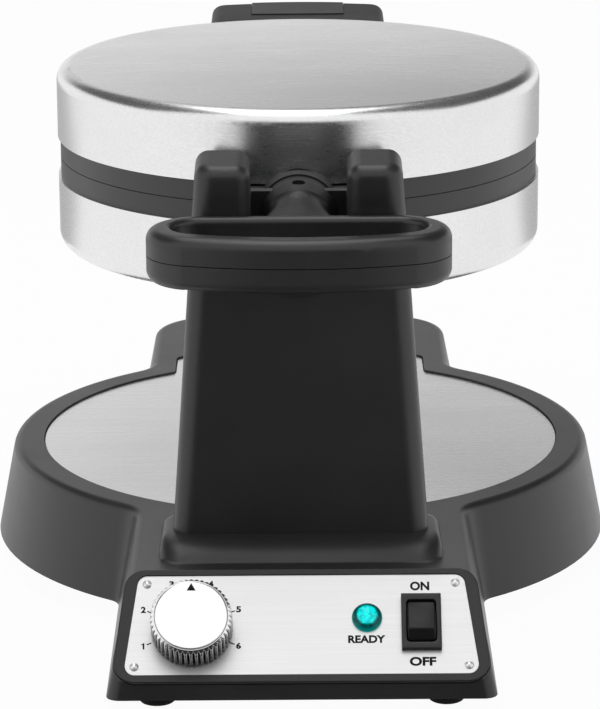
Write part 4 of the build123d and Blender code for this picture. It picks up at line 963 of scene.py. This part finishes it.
def peg_surface(x, y):
    """A tapered peg: a square with round corners, |x|^7 + |y|^7 = a^7, whose half width a
    follows a hollow fillet at the foot, a straight flank and a round edge at the head."""
    wide = PEG_FOOT / 2 + PEG_SPREAD
    arc = np.radians(np.array((0, 30, 60, 90)))
    foot = np.column_stack((wide - FILLET * np.sin(arc), FILLET * (1 - np.cos(arc))))
    head = np.column_stack((
        PEG_HEAD / 2 - EDGE + np.cos(arc), PEG_RISE - EDGE + EDGE * np.sin(arc)))
    rows = np.vstack(((0.0, -SUNK), (wide, -SUNK), foot, head, (0.0, PEG_RISE + PEG_CROWN)))
    turn = np.linspace(0, 2 * np.pi, 32, endpoint=False)
    across = np.sign(np.cos(turn)) * np.abs(np.cos(turn)) ** (2 / SQUARENESS)
    along = np.sign(np.sin(turn)) * np.abs(np.sin(turn)) ** (2 / SQUARENESS)
    half, rise = rows[:, :1], rows[:, 1:]
    points = np.stack((
        x + half * across, HEAD_Y + y + half * along, GRID_FLOOR + rise + 0 * across), -1)
    return points.reshape(-1, 3), grid_quads(len(rows), len(turn))


steps = GRID_PITCH * (np.arange(-4, 4) + 0.5)
peg_centres = [(x, y) for x in steps for y in steps if math.hypot(x, y) < GRID_REACH]
nonstick = plastic("nonstick_coat", (0.022, 0.022, 0.024), (0.06, 0.06, 0.063),
                   smooth=0.25, rough=0.4, grain=1800.0, depth=0.3,
                   IOR=1.45, Coat_Weight=0.15, Coat_Roughness=0.25)


def turned_over(points):
    """The same points on the other side of the parting of the head."""
    return (points * (1, 1, -1) + (0, 0, 2 * AXIS_Z)) / 1000


PEG_CLEAR = 0.1                       # mm round a plain peg's square
ON_FLOOR, ROUND_OFF = 1e-4, 1e-5      # metres


def pocket_plate(node, name, place, body):
    """The cast plate of a grid with its plain pegs taken off, so that rounded ones can stand
    there: the faces within a peg's square that rise above the floor."""
    solid = bmesh.new()
    solid.from_mesh(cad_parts[node].data)
    bmesh.ops.remove_doubles(solid, verts=solid.verts, dist=WELD)
    floor, top = place(np.array(((0, 0, GRID_FLOOR), (0, 0, GRID_FLOOR + PEG_RISE))))[:, 2]
    reach = (PEG_FOOT / 2 + PEG_CLEAR) / 1000
    centres = np.array(peg_centres) / 1000 + (0, HEAD_Y / 1000)
    spots = np.array([corner.co for corner in solid.verts])
    near = np.abs(spots[:, None, :2] - centres[None]).max(-1).min(-1) < reach
    low, high = sorted((floor, top))
    inside = near & (spots[:, 2] > low - ROUND_OFF) & (spots[:, 2] < high + ROUND_OFF)
    raised = np.abs(spots[:, 2] - floor) > ON_FLOOR
    solid.verts.index_update()
    pegs = [
        face for face in solid.faces
        if all(inside[corner.index] for corner in face.verts)
        and any(raised[corner.index] for corner in face.verts)
    ]
    bmesh.ops.delete(solid, geom=pegs, context="FACES")
    mesh = bpy.data.meshes.new(name)
    solid.to_mesh(mesh)
    solid.free()
    for layer in [a for a in mesh.attributes if a.name == "custom_normal"]:
        mesh.attributes.remove(layer)
    mesh.shade_smooth()
    mesh.set_sharp_from_angle(angle=math.radians(30))
    mesh.materials.clear()
    mesh.materials.append(nonstick)
    piece = link_piece(name, mesh)
    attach(piece, body)
    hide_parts(node)


for half, place, body in (("lower", to_metres, "head"), ("lid", turned_over, "lid")):
    pocket_plate(f"{half}_grid", f"{half}_pocket_plate", place, body)
    closed_piece(f"{half}_pegs", [peg_surface(x, y) for x, y in peg_centres], place, body,
                 nonstick, f"{half}_grid")
dress(["lid_heater", "lower_heater"], metal(
    "heater_sheath", (0.30, 0.27, 0.22), (0.16, 0.14, 0.12),
    smooth=0.4, rough=0.6, depth=0.2, scale=500.0))
dress(["lid_reflector", "lower_reflector"], metal(
    "reflector_aluminium", (0.80, 0.80, 0.81), (0.66, 0.66, 0.67),
    smooth=0.25, rough=0.4, depth=0.05, scale=200.0))


# Rear handles. One on the lid and one under the lower shell, of dull black phenolic,
# each with a separate grip in its middle that has a coarser grain.

dress(["lid_handle", "lower_handle"], plastic(
    "rear_handle_phenolic", (0.012, 0.012, 0.0125), (0.024, 0.024, 0.025),
    smooth=0.44, rough=0.58, grain=2800.0, depth=0.16,
    IOR=1.45, Specular_IOR_Level=0.22))
dress(["lid_handle_grip", "lower_handle_grip"], plastic(
    "grip_phenolic", (0.014, 0.014, 0.0145), (0.028, 0.028, 0.029),
    smooth=0.42, rough=0.56, grain=2000.0, depth=0.3,
    IOR=1.45, Specular_IOR_Level=0.35))
